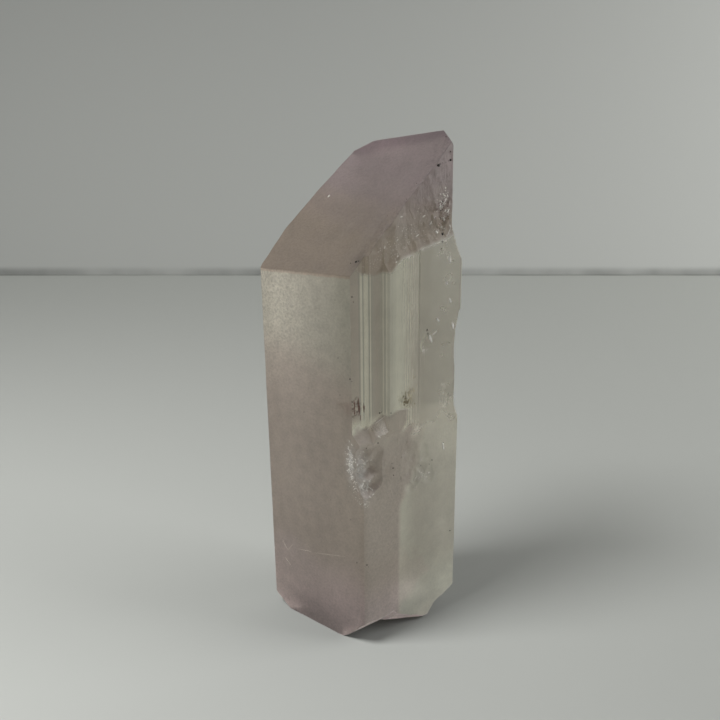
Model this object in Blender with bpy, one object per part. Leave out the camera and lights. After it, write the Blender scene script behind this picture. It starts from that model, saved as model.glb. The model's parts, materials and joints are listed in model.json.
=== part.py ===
"""Kunzite crystal: one upright prism of clear pink spodumene with a sloping end face.

The prism is four sided, with its front edge towards -Y. The front face turns away to the left
and the side face turns away to the right. Spodumene cleaves along both, so a strip of the side
face beside the front edge has come away in steps. The top of the side face, the right corner
and the foot are broken, and the foot keeps a flat that the crystal stands on.

A place by the side face is given as u, along the face from the front edge, w, the depth into
the crystal, and the height z. Metres throughout, +Z up.
"""

from math import cos, pi, radians, sin, tan

import bmesh
import bpy
from mathutils import Matrix, Vector

# Driving dimensions of the prism
FRONT_WIDTH = 0.0159
SIDE_WIDTH = 0.0151
FRONT_TURN = radians(39)
SIDE_TURN = radians(37)
BACK_CORNER = Vector((0.0001, 0.0176))
BACK_RIGHT = Vector((0.0016, 0.0180))
RIGHT_BACK = Vector((0.0119, 0.01068))
LEAN = -0.0105

# The left side swells a little: how far along it, and how far out
LEFT_SWELL = ((0.28, 0.0009), (0.60, 0.0007))

# Worn radius of the front edge, and of the other upright edges
FRONT_ROUND = 0.0007
EDGE_ROUND = 0.0003
SLAB_ROUND = 0.0001

# Sloping end face: its height over the front edge, and its rise to the right and to the back
SLOPE_HEIGHT = 0.05067
RISE_RIGHT = 0.698
RISE_BACK = 0.667
BACK_FACET_SLOPE = radians(65)

# Worn ends of the ridge: three points on each
RIDGE_LEFT_WEAR = ((0.0010, 0.0166, 0.0624), (-0.0010, 0.0170, 0.0613), (-0.0012, 0.0186, 0.0580))
RIDGE_RIGHT_WEAR = ((0.0090, 0.0114, 0.0646), (0.0100, 0.0087, 0.0634), (0.0112, 0.0120, 0.0610))

# Cleaved steps beside the front edge: depth, end along the face, and height of the floor
STRIP_DEPTH = 0.0016
STRIP_END = 0.00175
STRIP_FLOOR = 0.0283
STEP_DEPTH = 0.00104
STEP_END = 0.0039
LEDGE_FLOOR = 0.0300
LEDGE_SLOPE = 1.3

# The side face's lower slab stands proud of the rest, and ends at the ledge
SLAB_PROUD = 0.0004
SLAB_END = 0.0056
CLEAVED_UNDER = 0.00006

# Broken shoulder under the end face: along the face, depth, and height of its floor
SHOULDER = (
    (0.0030, 0.00125, 0.0497),
    (0.0044, 0.00125, 0.0500),
    (0.0056, 0.00105, 0.0512),
    (0.0072, 0.00125, 0.0515),
    (0.0092, 0.00110, 0.0521),
    (0.0112, 0.00090, 0.0524),
    (0.0136, 0.00100, 0.0529),
    (0.0170, 0.00120, 0.0532),
)
SHOULDER_SLOPE = 1.8

# Right corner: where it has broken off near the top, and the wear lower down
CORNER_BREAK_X = 0.0107
CORNER_BREAK_FLOOR = 0.0540
CORNER_BREAK_FLARE = 2.3
CORNER_NEAR_Y = 0.0044
CORNER_FAR_Y = 0.0176
WEAR_X = 0.0114
WEAR_FAR_Y = 0.0141
WEAR_LOW = 0.0275
WEAR_HIGH = 0.0435

# Hollow that broke out of the front edge under the cleaved steps
HOLLOW_PLACE = (0.0001, -0.0010, 0.0262)
HOLLOW_RADII = (0.0033, 0.0021, 0.0050)

# Foot: height of the break at the front corner, and its slopes inwards and along the face
FOOT_BREAK = 0.0035
FOOT_BREAK_END = 0.0048
FOOT_SLOPE_IN = 0.80
FOOT_SLOPE_ALONG = 0.577

# Small breaks of the foot, three points on each. Left: distance along the front face and height,
# twice, and a point of the flat. Right: u, w and height. Back: points of the flat and the corner
FOOT_LEFT = ((0.0130, 0), (0.0159, 0.0020))
FOOT_LEFT_INSIDE = (-0.0090, 0.0142, 0)
FOOT_RIGHT = ((0.0102, 0, 0), (0.0151, 0, 0.0031), (0.0135, 0.0050, 0))
FOOT_BACK = ((-0.0030, 0.0160, 0), (0.0001, 0.0176, 0.0016), (0.0045, 0.0152, 0))

# How far cutters reach over, under, out of and past the edge of the crystal
ABOVE = 0.085
BELOW = -0.006
CLEAR = 0.0015
PAST_EDGE = 0.006

PALE_PINK = (0.72, 0.60, 0.62, 1)
SPODUMENE_IOR = 1.66
SMOOTH_UNDER = radians(20)


def along(angle, length):
    """A plan vector of this length, turned this far from +X towards +Y."""
    return Vector((cos(angle), sin(angle))) * length


LEFT_CORNER = along(pi - FRONT_TURN, FRONT_WIDTH)
RIGHT_CORNER = along(SIDE_TURN, SIDE_WIDTH)
FRONT_ALONG = LEFT_CORNER.normalized()
SIDE_ALONG = RIGHT_CORNER.normalized()
SIDE_INWARD = along(SIDE_TURN + pi / 2, 1.0)
INSIDE = Vector((0, BACK_CORNER.y / 2, SLOPE_HEIGHT / 2))


def by_side(u, w, z=0.0):
    """The point u along the side face, w into the crystal and z up."""
    plan = SIDE_ALONG * u + SIDE_INWARD * w
    return Vector((plan.x, plan.y, z))


def by_front(distance, z=0.0):
    """The point this far along the front face from the front edge, and z up."""
    plan = FRONT_ALONG * distance
    return Vector((plan.x, plan.y, z))


def worn_corner(before, corner, after, radius, steps):
    """The points of the arc of this radius that replaces a corner of the plan."""
    to_before = (before - corner).normalized()
    to_after = (after - corner).normalized()
    half = to_before.angle(to_after) / 2
    centre = corner + (to_before + to_after).normalized() * (radius / sin(half))
    start = corner + to_before * (radius / tan(half)) - centre
    end = corner + to_after * (radius / tan(half)) - centre
    turn = -start.angle_signed(end)
    return [centre + Matrix.Rotation(turn * step / steps, 2) @ start for step in range(steps + 1)]


def plan_outline():
    """The prism's plan, from the front edge round by the right, with its corners worn."""
    slab_corner = -FRONT_ALONG * SLAB_PROUD / SIDE_INWARD.dot(FRONT_ALONG)
    left_side = BACK_CORNER - LEFT_CORNER
    left_outward = Vector((-left_side.y, left_side.x)).normalized()
    swell = [LEFT_CORNER + left_side * part + left_outward * out for part, out in LEFT_SWELL]
    corners = [
        (slab_corner, FRONT_ROUND, 5),
        (by_side(SLAB_END, -SLAB_PROUD).xy, SLAB_ROUND, 1),
        (by_side(SLAB_END + SLAB_PROUD / 2, 0).xy, SLAB_ROUND, 1),
        (RIGHT_CORNER, EDGE_ROUND, 2),
        (RIGHT_BACK, EDGE_ROUND, 2),
        (BACK_RIGHT, EDGE_ROUND, 2),
        (BACK_CORNER, EDGE_ROUND, 1),
        (swell[1], EDGE_ROUND, 1),
        (swell[0], EDGE_ROUND, 1),
        (LEFT_CORNER, EDGE_ROUND, 2),
    ]
    points = []
    for index, (corner, radius, steps) in enumerate(corners):
        before = corners[index - 1][0]
        after = corners[(index + 1) % len(corners)][0]
        points += worn_corner(before, corner, after, radius, steps)
    return points


def lean(mesh):
    """Shifts each point of a bmesh sideways with its height, as the crystal leans."""
    for vert in mesh.verts:
        vert.co.x += LEAN * vert.co.z


def cut_above(mesh, point, normal):
    """Takes away what lies on the side of a plane that its normal points to."""
    geometry = mesh.verts[:] + mesh.edges[:] + mesh.faces[:]
    cut = bmesh.ops.bisect_plane(
        mesh, geom=geometry, plane_co=point, plane_no=normal, clear_outer=True, dist=1e-8
    )
    rim = [item for item in cut["geom_cut"] if isinstance(item, bmesh.types.BMEdge)]
    bmesh.ops.edgenet_fill(mesh, edges=rim)


def plane_through(first, second, third, away_from):
    """A point and a unit normal of the plane through three points, facing away from a fourth."""
    normal = (second - first).cross(third - first).normalized()
    if normal.dot(away_from - first) > 0:
        normal = -normal
    return first, normal


def new_object(name, mesh, material=None):
    """An object made of a bmesh, with its faces turned outwards."""
    bmesh.ops.recalc_face_normals(mesh, faces=mesh.faces[:])
    data = bpy.data.meshes.new(name)
    mesh.to_mesh(data)
    mesh.free()
    if material is not None:
        data.materials.append(material)
    made = bpy.data.objects.new(name, data)
    bpy.context.scene.collection.objects.link(made)
    return made


def cutter(name, mesh):
    """A cutting shape, left out of the render."""
    made = new_object(name, mesh)
    made.hide_render = True
    made.display_type = "WIRE"
    return made


def prism_between(outline, floor_of, top):
    """An upright bmesh prism on a plan outline, with a floor height for each plan point."""
    mesh = bmesh.new()
    low = [mesh.verts.new((point.x, point.y, floor_of(point))) for point in outline]
    high = [mesh.verts.new((point.x, point.y, top)) for point in outline]
    mesh.faces.new(low)
    mesh.faces.new(high)
    for index in range(len(outline)):
        after = (index + 1) % len(outline)
        mesh.faces.new((low[index], low[after], high[after], high[index]))
    return mesh


def hull_of(points):
    """The bmesh convex solid around some points."""
    mesh = bmesh.new()
    for point in points:
        mesh.verts.new(point)
    made = bmesh.ops.convex_hull(mesh, input=mesh.verts[:])
    spare = [item for item in made["geom_interior"] if isinstance(item, bmesh.types.BMVert)]
    bmesh.ops.delete(mesh, geom=spare, context="VERTS")
    return mesh


def cleaved_cutter(name, outline, floor):
    """A cutter for a cleaved step, whose floor slopes up into the crystal."""
    plan = [by_side(u, w) for u, w in outline]

    def floor_of(point):
        depth = SIDE_INWARD.dot(point.xy)
        return floor + LEDGE_SLOPE * (depth + SLAB_PROUD)

    mesh = prism_between(plan, floor_of, ABOVE)
    lean(mesh)
    return cutter(name, mesh)


def strip_cutter():
    """The deep strip beside the front edge. Its riser follows the front face's direction."""
    riser = (STRIP_DEPTH + CLEAR) / tan(FRONT_TURN + SIDE_TURN)
    outline = (
        (-PAST_EDGE, STRIP_DEPTH),
        (STRIP_END, STRIP_DEPTH),
        (STRIP_END + riser, -CLEAR),
        (-PAST_EDGE, -CLEAR),
    )
    return cleaved_cutter("strip_cutter", outline, STRIP_FLOOR)


def step_cutter():
    """The shallower step on the right of the strip."""
    riser = (STEP_DEPTH + CLEAR) / tan(FRONT_TURN + SIDE_TURN)
    outline = (
        (-CLEAR, STEP_DEPTH),
        (STEP_END, STEP_DEPTH),
        (STEP_END + riser, -CLEAR),
        (-CLEAR, -CLEAR),
    )
    return cleaved_cutter("step_cutter", outline, LEDGE_FLOOR)


def slab_cutter():
    """The top of the slab that stands proud of the lower side face, cleaved just under its plane."""
    outline = (
        (STEP_END / 2, CLEAVED_UNDER),
        (SLAB_END + CLEAR, CLEAVED_UNDER),
        (SLAB_END + CLEAR, -CLEAR),
        (STEP_END / 2, -CLEAR),
    )
    return cleaved_cutter("slab_cutter", outline, LEDGE_FLOOR)


def shoulder_cutter():
    """The break under the end face: sections across it, joined one to the next."""
    mesh = bmesh.new()
    sections = []
    for u, depth, floor in SHOULDER:
        ring = (
            by_side(u, -CLEAR, floor - SHOULDER_SLOPE * CLEAR),
            by_side(u, depth, floor + SHOULDER_SLOPE * depth),
            by_side(u, depth, ABOVE),
            by_side(u, -CLEAR, ABOVE),
        )
        sections.append([mesh.verts.new(point) for point in ring])
    for near, far in zip(sections, sections[1:]):
        for index in range(len(near)):
            after = (index + 1) % len(near)
            mesh.faces.new((near[index], near[after], far[after], far[index]))
    mesh.faces.new(sections[0])
    mesh.faces.new(sections[-1])
    lean(mesh)
    return cutter("shoulder_cutter", mesh)


def corner_cutter():
    """The right corner's break, which flares out where it ends."""
    far = RIGHT_CORNER.x + 2 * CLEAR
    flare = CORNER_BREAK_FLARE * (far - CORNER_BREAK_X)
    points = []
    for y in (CORNER_NEAR_Y, CORNER_FAR_Y):
        points.append((CORNER_BREAK_X, y, CORNER_BREAK_FLOOR))
        points.append((far, y, CORNER_BREAK_FLOOR - flare))
        points.append((CORNER_BREAK_X, y, ABOVE))
        points.append((far, y, ABOVE))
    mesh = hull_of(points)
    lean(mesh)
    return cutter("corner_cutter", mesh)


def wear_cutter():
    """The long shallow wear of the right edge at mid height."""
    far = RIGHT_CORNER.x + CLEAR
    points = []
    for y in (CORNER_NEAR_Y, WEAR_FAR_Y):
        points.append((WEAR_X, y, WEAR_LOW + 2 * CLEAR))
        points.append((WEAR_X, y, WEAR_HIGH - CLEAR))
        points.append((far, y, WEAR_LOW - 2 * CLEAR))
        points.append((far, y, WEAR_HIGH + CLEAR))
    mesh = hull_of(points)
    lean(mesh)
    return cutter("wear_cutter", mesh)


def hollow_cutter():
    """The shell-shaped hollow under the cleaved steps."""
    mesh = bmesh.new()
    bmesh.ops.create_icosphere(mesh, subdivisions=2, radius=1.0)
    for vert in mesh.verts:
        u, w, z = (
            middle + radius * part for middle, radius, part in zip(HOLLOW_PLACE, HOLLOW_RADII, vert.co)
        )
        vert.co = by_side(u, w, z)
    lean(mesh)
    return cutter("hollow_cutter", mesh)


def foot_cutter():
    """The break at the foot of the front corner: it falls away inwards and to the right."""
    high = FOOT_BREAK + FOOT_SLOPE_IN * CLEAR
    reach_in = FOOT_BREAK / FOOT_SLOPE_IN
    reach_along = FOOT_BREAK_END + high / FOOT_SLOPE_ALONG
    points = [
        by_side(-PAST_EDGE, -CLEAR, high),
        by_side(FOOT_BREAK_END, -CLEAR, high),
        by_side(reach_along, -CLEAR, 0),
        by_side(FOOT_BREAK_END, reach_in, 0),
        by_side(-PAST_EDGE, reach_in, 0),
    ]
    points += [Vector((point.x, point.y, BELOW)) for point in points]
    return cutter("foot_cutter", hull_of(points))


def back_facet():
    """A point and a normal of the small steep facet behind the ridge."""
    ridge = BACK_CORNER - RIGHT_CORNER
    level = SLOPE_HEIGHT + RISE_RIGHT * BACK_CORNER.x + RISE_BACK * BACK_CORNER.y
    corner = Vector((BACK_CORNER.x + LEAN * level, BACK_CORNER.y, level))
    along_ridge = Vector((ridge.x, ridge.y, RISE_RIGHT * ridge.x + RISE_BACK * ridge.y))
    backwards = Vector((-ridge.y, ridge.x, 0)).normalized()
    if backwards.y < 0:
        backwards = -backwards
    down_back = backwards - Vector((0, 0, tan(BACK_FACET_SLOPE)))
    return plane_through(corner, corner + along_ridge, corner + down_back, INSIDE)


def foot_breaks():
    """Three points on each of the small breaks of the foot: at the left, the right and the back."""
    left = (*(by_front(distance, z) for distance, z in FOOT_LEFT), Vector(FOOT_LEFT_INSIDE))
    right = tuple(by_side(u, w, z) for u, w, z in FOOT_RIGHT)
    return left, right, FOOT_BACK


def crystal_body():
    """The prism, cut by its end faces, by the worn ridge ends, and by the foot's flat and breaks."""
    mesh = prism_between(plan_outline(), lambda point: BELOW, ABOVE)
    lean(mesh)
    cut_above(mesh, Vector((0, 0, SLOPE_HEIGHT)), Vector((-RISE_RIGHT, -RISE_BACK, 1)).normalized())
    cut_above(mesh, *back_facet())
    cut_above(mesh, Vector((0, 0, 0)), Vector((0, 0, -1)))
    for places in (RIDGE_LEFT_WEAR, RIDGE_RIGHT_WEAR, *foot_breaks()):
        first, second, third = (Vector(place) for place in places)
        cut_above(mesh, *plane_through(first, second, third, INSIDE))
    return mesh


def kunzite_material():
    """Pale pink spodumene: see-through, with a faintly frosted skin."""
    material = bpy.data.materials.new("kunzite")
    material.use_nodes = True
    shader = material.node_tree.nodes["Principled BSDF"]
    shader.inputs["Base Color"].default_value = PALE_PINK
    shader.inputs["Roughness"].default_value = 0.3
    shader.inputs["Metallic"].default_value = 0.0
    shader.inputs["IOR"].default_value = SPODUMENE_IOR
    shader.inputs["Transmission Weight"].default_value = 1.0
    material.diffuse_color = PALE_PINK
    return material


def centred(objects, body):
    """Moves every object so that the body's box stands centred on the origin."""
    corners = [vert.co for vert in body.data.vertices]
    middle = Vector(
        (
            (min(co.x for co in corners) + max(co.x for co in corners)) / 2,
            (min(co.y for co in corners) + max(co.y for co in corners)) / 2,
            0,
        )
    )
    for item in objects:
        item.data.transform(Matrix.Translation(-middle))


def main():
    for item in list(bpy.data.objects):
        bpy.data.objects.remove(item, do_unlink=True)
    crystal = new_object("crystal", crystal_body(), kunzite_material())
    crystal.data.shade_smooth()
    crystal.data.set_sharp_from_angle(angle=SMOOTH_UNDER)
    cutters = (
        strip_cutter(),
        step_cutter(),
        slab_cutter(),
        shoulder_cutter(),
        corner_cutter(),
        wear_cutter(),
        hollow_cutter(),
        foot_cutter(),
    )
    centred((crystal, *cutters), crystal)
    for shape in cutters:
        modifier = crystal.modifiers.new(shape.name, "BOOLEAN")
        modifier.operation = "DIFFERENCE"
        modifier.solver = "EXACT"
        modifier.object = shape


if __name__ == "__main__":
    main()
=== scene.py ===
"""Kunzite crystal: its fine surface, what is sealed in it, and the studio that it stands in.

The crystal is one closed surface. Its wall is a grid of columns round the plan and rows up the
height. The end face and the foot close it, each as rings that shrink to a point. Places on the
side face are u, along the face from the front edge, and w, the depth into the crystal. Sizes
are in millimetres and become metres when a mesh is made.
"""

import json
import logging
from collections.abc import Callable
from dataclasses import dataclass
from enum import Enum
from math import cos, pi, radians, sin, tan

import bpy
import numpy as np
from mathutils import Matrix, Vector

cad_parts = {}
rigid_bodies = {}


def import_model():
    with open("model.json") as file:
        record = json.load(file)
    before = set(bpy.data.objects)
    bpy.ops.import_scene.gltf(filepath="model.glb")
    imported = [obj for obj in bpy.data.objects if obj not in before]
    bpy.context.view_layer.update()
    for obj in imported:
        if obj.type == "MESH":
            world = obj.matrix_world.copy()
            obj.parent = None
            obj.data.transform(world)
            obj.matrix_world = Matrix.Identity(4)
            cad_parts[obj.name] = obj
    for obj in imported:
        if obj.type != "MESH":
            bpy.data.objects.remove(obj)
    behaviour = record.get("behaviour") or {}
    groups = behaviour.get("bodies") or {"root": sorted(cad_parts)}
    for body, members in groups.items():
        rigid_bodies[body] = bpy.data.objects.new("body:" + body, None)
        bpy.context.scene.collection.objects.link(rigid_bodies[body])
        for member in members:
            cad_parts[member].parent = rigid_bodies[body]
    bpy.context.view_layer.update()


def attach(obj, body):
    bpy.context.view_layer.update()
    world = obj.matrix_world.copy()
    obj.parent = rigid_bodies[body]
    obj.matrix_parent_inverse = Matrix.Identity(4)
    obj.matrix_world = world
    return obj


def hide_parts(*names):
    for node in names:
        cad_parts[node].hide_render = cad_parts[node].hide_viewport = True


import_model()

LOG = logging.getLogger("kunzite")
MM = 0.001
Array = np.ndarray
Tree = bpy.types.NodeTree
Socket = bpy.types.NodeSocket
Material = bpy.types.Material
Object = bpy.types.Object


def linear(hex_colour: str) -> tuple[float, float, float, float]:
    """Turns an sRGB hex colour into linear light.

    Args:
        hex_colour: six hex digits, with or without a leading #.

    Returns:
        Red, green, blue and an alpha of 1.
    """
    digits = hex_colour.lstrip("#")
    parts = [int(digits[start:start + 2], 16) / 255 for start in (0, 2, 4)]
    light = [part / 12.92 if part <= 0.04045 else ((part + 0.055) / 1.055) ** 2.4 for part in parts]
    return (*light, 1.0)


def add_node(tree: Tree, kind: str, inputs: dict | None = None, **settings: object) -> bpy.types.Node:
    """Adds a node, with its settings, its values and its links.

    Args:
        tree: the node tree that gets the node.
        kind: Blender's name for the node's type.
        inputs: a value or another node's output for each input, by its name or its number.
        **settings: the node's own properties.

    Returns:
        The new node.
    """
    node = tree.nodes.new(kind)
    for name, value in settings.items():
        setattr(node, name, value)
    for name, value in (inputs or {}).items():
        if isinstance(value, Socket):
            tree.links.new(value, node.inputs[name])
        else:
            node.inputs[name].default_value = value
    return node


def smooth(low: float, high: float, value: Array) -> Array:
    """Rises from 0 at low to 1 at high, along 3t squared less 2t cubed."""
    share = np.clip((value - low) / (high - low), 0.0, 1.0)
    return share * share * (3.0 - 2.0 * share)


def bell(across: Array, middle: float, width: float) -> Array:
    """Falls from 1 at the middle, as e to minus the square of the distance in widths."""
    return np.exp(-(((across - middle) / width) ** 2))


def graded(count: int, crowding: float = 0.5) -> Array:
    """Numbers from 0 up to 1, without the 1: an even line mixed with half a cosine wave.

    Args:
        count: how many numbers.
        crowding: how much closer together they stand near both ends, from 0 to 1.

    Returns:
        The numbers, in rising order.
    """
    line = np.arange(count) / count
    return (1.0 - crowding) * line + crowding * (0.5 - 0.5 * np.cos(pi * line))


def ripple(places: Array, wavelength: float, seed: int, waves: int = 9) -> Array:
    """Gentle waves: the mean of cosines of one wavelength in random directions and phases.

    Args:
        places: points, with their coordinates along the last axis.
        wavelength: the distance from crest to crest.
        seed: picks the directions and phases.
        waves: how many cosines.

    Returns:
        A height between about -1 and 1 for each point.
    """
    draw = np.random.default_rng(seed)
    way = draw.normal(size=(places.shape[-1], waves))
    way /= np.linalg.norm(way, axis=0)
    phase = draw.uniform(0.0, 2.0 * pi, waves)
    return np.cos(places @ way * (2.0 * pi / wavelength) + phase).mean(axis=-1) * 2.0


@dataclass(frozen=True)
class Facets:
    """The flat facets of a rough break, each round one of many centres scattered over a patch."""

    count: int
    across: tuple[float, float]
    up: tuple[float, float]
    seed: int

    def carve(self, across: Array, up: Array) -> Array:
        """How deep the facets lie: each point is on the tilted plane of the nearest centre.

        Args:
            across: each point's place along the face.
            up: each point's height.

        Returns:
            A depth between -1 and 1 for each point.
        """
        draw = np.random.default_rng(self.seed)
        least, most = zip(self.across, self.up)
        nearest = np.full(np.broadcast(across, up).shape, 1e9)
        depth = np.zeros(nearest.shape)
        for _ in range(self.count):
            centre = draw.uniform(least, most)
            tilt = draw.normal(0.0, 0.55, 2)
            level = draw.uniform(-0.5, 0.5)
            far = (across - centre[0]) ** 2 + (up - centre[1]) ** 2 * 0.6
            plane = level + tilt[0] * (across - centre[0]) + tilt[1] * (up - centre[1])
            depth = np.where(far < nearest, plane, depth)
            nearest = np.minimum(nearest, far)
        return np.clip(depth, -1.0, 1.0)


@dataclass(frozen=True)
class Chips:
    """Shell-shaped scars of chipping: round scoops scattered over a patch of a face."""

    count: int
    across: tuple[float, float]
    up: tuple[float, float]
    radius: tuple[float, float]
    depth: tuple[float, float]
    seed: int

    def carve(self, across: Array, up: Array) -> Array:
        """How deep the scoops go: the deepest of depth times 1 less (distance / radius) squared.

        Args:
            across: each point's place along the face.
            up: each point's height.

        Returns:
            The depth at each point, and 0 outside every scoop.
        """
        draw = np.random.default_rng(self.seed)
        deepest = np.zeros(np.broadcast(across, up).shape)
        for _ in range(self.count):
            middle_across = draw.uniform(*self.across)
            middle_up = draw.uniform(*self.up)
            share = draw.uniform() ** 1.7
            radius = self.radius[0] + (self.radius[1] - self.radius[0]) * share
            depth = self.depth[0] + (self.depth[1] - self.depth[0]) * share
            squash = draw.uniform(0.65, 1.5)
            far = ((across - middle_across) / radius) ** 2 + ((up - middle_up) / (radius * squash)) ** 2
            deepest = np.maximum(deepest, depth * (1.0 - far))
        return deepest


class Part(Enum):
    """The stretches of the plan, from the front edge round by the right."""

    STRIP = 0
    STRIP_RISER = 1
    STEP = 2
    STEP_RISER = 3
    SLAB = 4
    SLAB_END = 5
    SIDE = 6
    RIGHT = 7
    BACK = 8
    BACK_END = 9
    LEFT = 10
    FRONT = 11


@dataclass(frozen=True)
class Plane:
    """A plane given by its height over the plan: z = level + by_x * x + by_y * y."""

    level: float
    by_x: float
    by_y: float

    def height(self, plan: Array) -> Array:
        """The plane's height over each plan point."""
        return self.level + self.by_x * plan[..., 0] + self.by_y * plan[..., 1]

    @staticmethod
    def through(first: Array, second: Array, third: Array) -> "Plane":
        """The plane through three points."""
        rows = np.array([[1.0, point[0], point[1]] for point in (first, second, third)])
        level, by_x, by_y = np.linalg.solve(rows, np.array([first[2], second[2], third[2]]))
        return Plane(float(level), float(by_x), float(by_y))


@dataclass
class Surface:
    """A closed surface being made: rows of points round the crystal, and masks on them."""

    rows: list[Array]
    masks: dict[str, list[Array]]

    def add(self, points: Array, **masks: Array) -> None:
        """Adds one ring of points with a value of every mask for each."""
        self.rows.append(points)
        for name, values in masks.items():
            self.masks.setdefault(name, []).append(np.broadcast_to(values, points.shape[:1]))


def mesh_object(name: str, points: Array, faces: Array, material: Material) -> Object:
    """Makes a mesh object from arrays, at the origin.

    Args:
        name: the piece's name.
        points: vertex places in millimetres.
        faces: vertex numbers, one row for each face.
        material: what the piece is made of.

    Returns:
        The new object.
    """
    mesh = bpy.data.meshes.new(name)
    sides = faces.shape[1]
    mesh.vertices.add(len(points))
    mesh.vertices.foreach_set("co", (points * MM).astype(np.float32).ravel())
    mesh.loops.add(faces.size)
    mesh.loops.foreach_set("vertex_index", faces.astype(np.int32).ravel())
    mesh.polygons.add(len(faces))
    mesh.polygons.foreach_set("loop_start", np.arange(0, faces.size, sides, dtype=np.int32))
    mesh.update(calc_edges=True)
    mesh.validate()
    mesh.materials.append(material)
    made = bpy.data.objects.new(name, mesh)
    bpy.context.scene.collection.objects.link(made)
    return made


@dataclass(frozen=True)
class KunziteFinish:
    """Kunzite, the pink spodumene, as it grew: a clear stone under etched and cleaved faces.

    Etched faces scatter light like ground glass, and cleavages are glossy. The body's faint
    colour comes from absorption. Attributes of the surface say how etched, ribbed, broken and
    clear each place is, how strong its grain and its painted glitter are, and its own tint, with
    painted light and shade mixed into the tint.
    """

    # Spodumene bends light by 1.66, and its body takes a little green and blue on the way
    ior: float = 1.66
    body_colour: str = "#eee8e4"
    body_density: float = 22.0
    gloss_roughness: float = 0.09
    etched_roughness: float = 0.62

    # What the faces let through to the shadow and to what is sealed inside: going in, coming out
    shadow_colour: str = "#2e2b29"
    leaving_colour: str = "#f4f2f0"

    # Sizes of the patterns. Real etch grain is finer, and is drawn as coarse as it needs to show
    blotch_mm: float = 2.4
    grain_mm: float = 0.32
    rib_mm: float = 0.16
    rib_stretch: float = 0.006
    hackle_mm: float = 0.42
    bend_mm: float = 0.8

    # Depths of the relief
    grain_depth_mm: float = 0.16
    rib_depth_mm: float = 0.05
    hackle_depth_mm: float = 0.10

    def material(self) -> Material:
        """The stone's material."""
        made = bpy.data.materials.new("kunzite_spodumene")
        made.use_nodes = True
        tree = made.node_tree
        tree.nodes.clear()
        out = add_node(tree, "ShaderNodeOutputMaterial")
        etched = add_node(tree, "ShaderNodeAttribute", attribute_name="etched").outputs["Fac"]
        broken = add_node(tree, "ShaderNodeAttribute", attribute_name="broken").outputs["Fac"]
        clear = add_node(tree, "ShaderNodeAttribute", attribute_name="clear").outputs["Fac"]
        sparkle = add_node(tree, "ShaderNodeAttribute", attribute_name="sparkle").outputs["Fac"]
        tint = add_node(tree, "ShaderNodeAttribute", attribute_name="tint").outputs["Color"]
        place = add_node(tree, "ShaderNodeTexCoord").outputs["Object"]
        mottle = add_node(
            tree, "ShaderNodeTexNoise",
            {"Vector": place, "Scale": 1 / (self.blotch_mm * MM), "Detail": 4.0, "Roughness": 0.62},
        ).outputs["Fac"]
        cell, cell_depth = self.cells(tree, place)
        rough = self.roughness(tree, etched, broken, mottle, cell)
        bump = self.relief(tree, place, sparkle, broken, cell_depth)

        # Blotches of a few millimetres, dark pits in some cells of the breaks, and small light and dark
        # specks of grain, as strong as the sparkle mask: partly grain and partly painted glitter
        shade = add_node(
            tree, "ShaderNodeMapRange",
            {"Value": mottle, "From Min": 0.35, "From Max": 0.65, "To Min": 0.86, "To Max": 1.0},
        ).outputs["Result"]
        pit = add_node(
            tree, "ShaderNodeMapRange",
            {"Value": cell, "From Min": 0.84, "From Max": 0.90, "To Min": 0.0, "To Max": 0.28},
        ).outputs["Result"]
        pit = add_node(
            tree, "ShaderNodeMath", {0: pit, 1: broken}, operation="MULTIPLY",
        ).outputs["Value"]
        shade = add_node(
            tree, "ShaderNodeMath", {0: shade, 1: pit}, operation="SUBTRACT",
        ).outputs["Value"]
        fine = add_node(
            tree, "ShaderNodeTexNoise",
            {"Vector": place, "Scale": 1 / (self.grain_mm * MM), "Detail": 3.0, "Roughness": 0.7},
        ).outputs["Fac"]
        fine = add_node(
            tree, "ShaderNodeMapRange",
            {"Value": fine, "From Min": 0.35, "From Max": 0.65, "To Min": -0.38, "To Max": 0.38},
        ).outputs["Result"]
        fine = add_node(
            tree, "ShaderNodeMath", {0: fine, 1: sparkle}, operation="MULTIPLY",
        ).outputs["Value"]
        shade = add_node(
            tree, "ShaderNodeMath", {0: shade, 1: fine}, operation="ADD",
        ).outputs["Value"]
        colour = add_node(
            tree, "ShaderNodeVectorMath", {0: tint, 1: shade}, operation="MULTIPLY",
        ).outputs["Vector"]
        stone = add_node(
            tree, "ShaderNodeBsdfPrincipled",
            {"Base Color": colour, "Roughness": rough, "IOR": self.ior, "Normal": bump,
             "Transmission Weight": clear},
        ).outputs["BSDF"]

        # Light passes on through the stone, so its shadow isn't black, and reaches what is sealed in it
        leaving = add_node(tree, "ShaderNodeNewGeometry").outputs["Backfacing"]
        share = add_node(
            tree, "ShaderNodeMix",
            {0: leaving, 6: linear(self.shadow_colour), 7: linear(self.leaving_colour)},
            data_type="RGBA",
        ).outputs[2]
        passing = add_node(tree, "ShaderNodeBsdfTransparent", {"Color": share}).outputs["BSDF"]
        path = add_node(tree, "ShaderNodeLightPath").outputs
        carried = add_node(
            tree, "ShaderNodeMath", {0: path["Is Shadow Ray"], 1: path["Is Diffuse Ray"]},
            operation="MAXIMUM",
        ).outputs["Value"]
        surface = add_node(
            tree, "ShaderNodeMixShader", {0: carried, 1: stone, 2: passing},
        ).outputs["Shader"]
        inside = add_node(
            tree, "ShaderNodeVolumeAbsorption",
            {"Color": linear(self.body_colour), "Density": self.body_density},
        ).outputs["Volume"]
        tree.links.new(surface, out.inputs["Surface"])
        tree.links.new(inside, out.inputs["Volume"])
        return made

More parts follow.
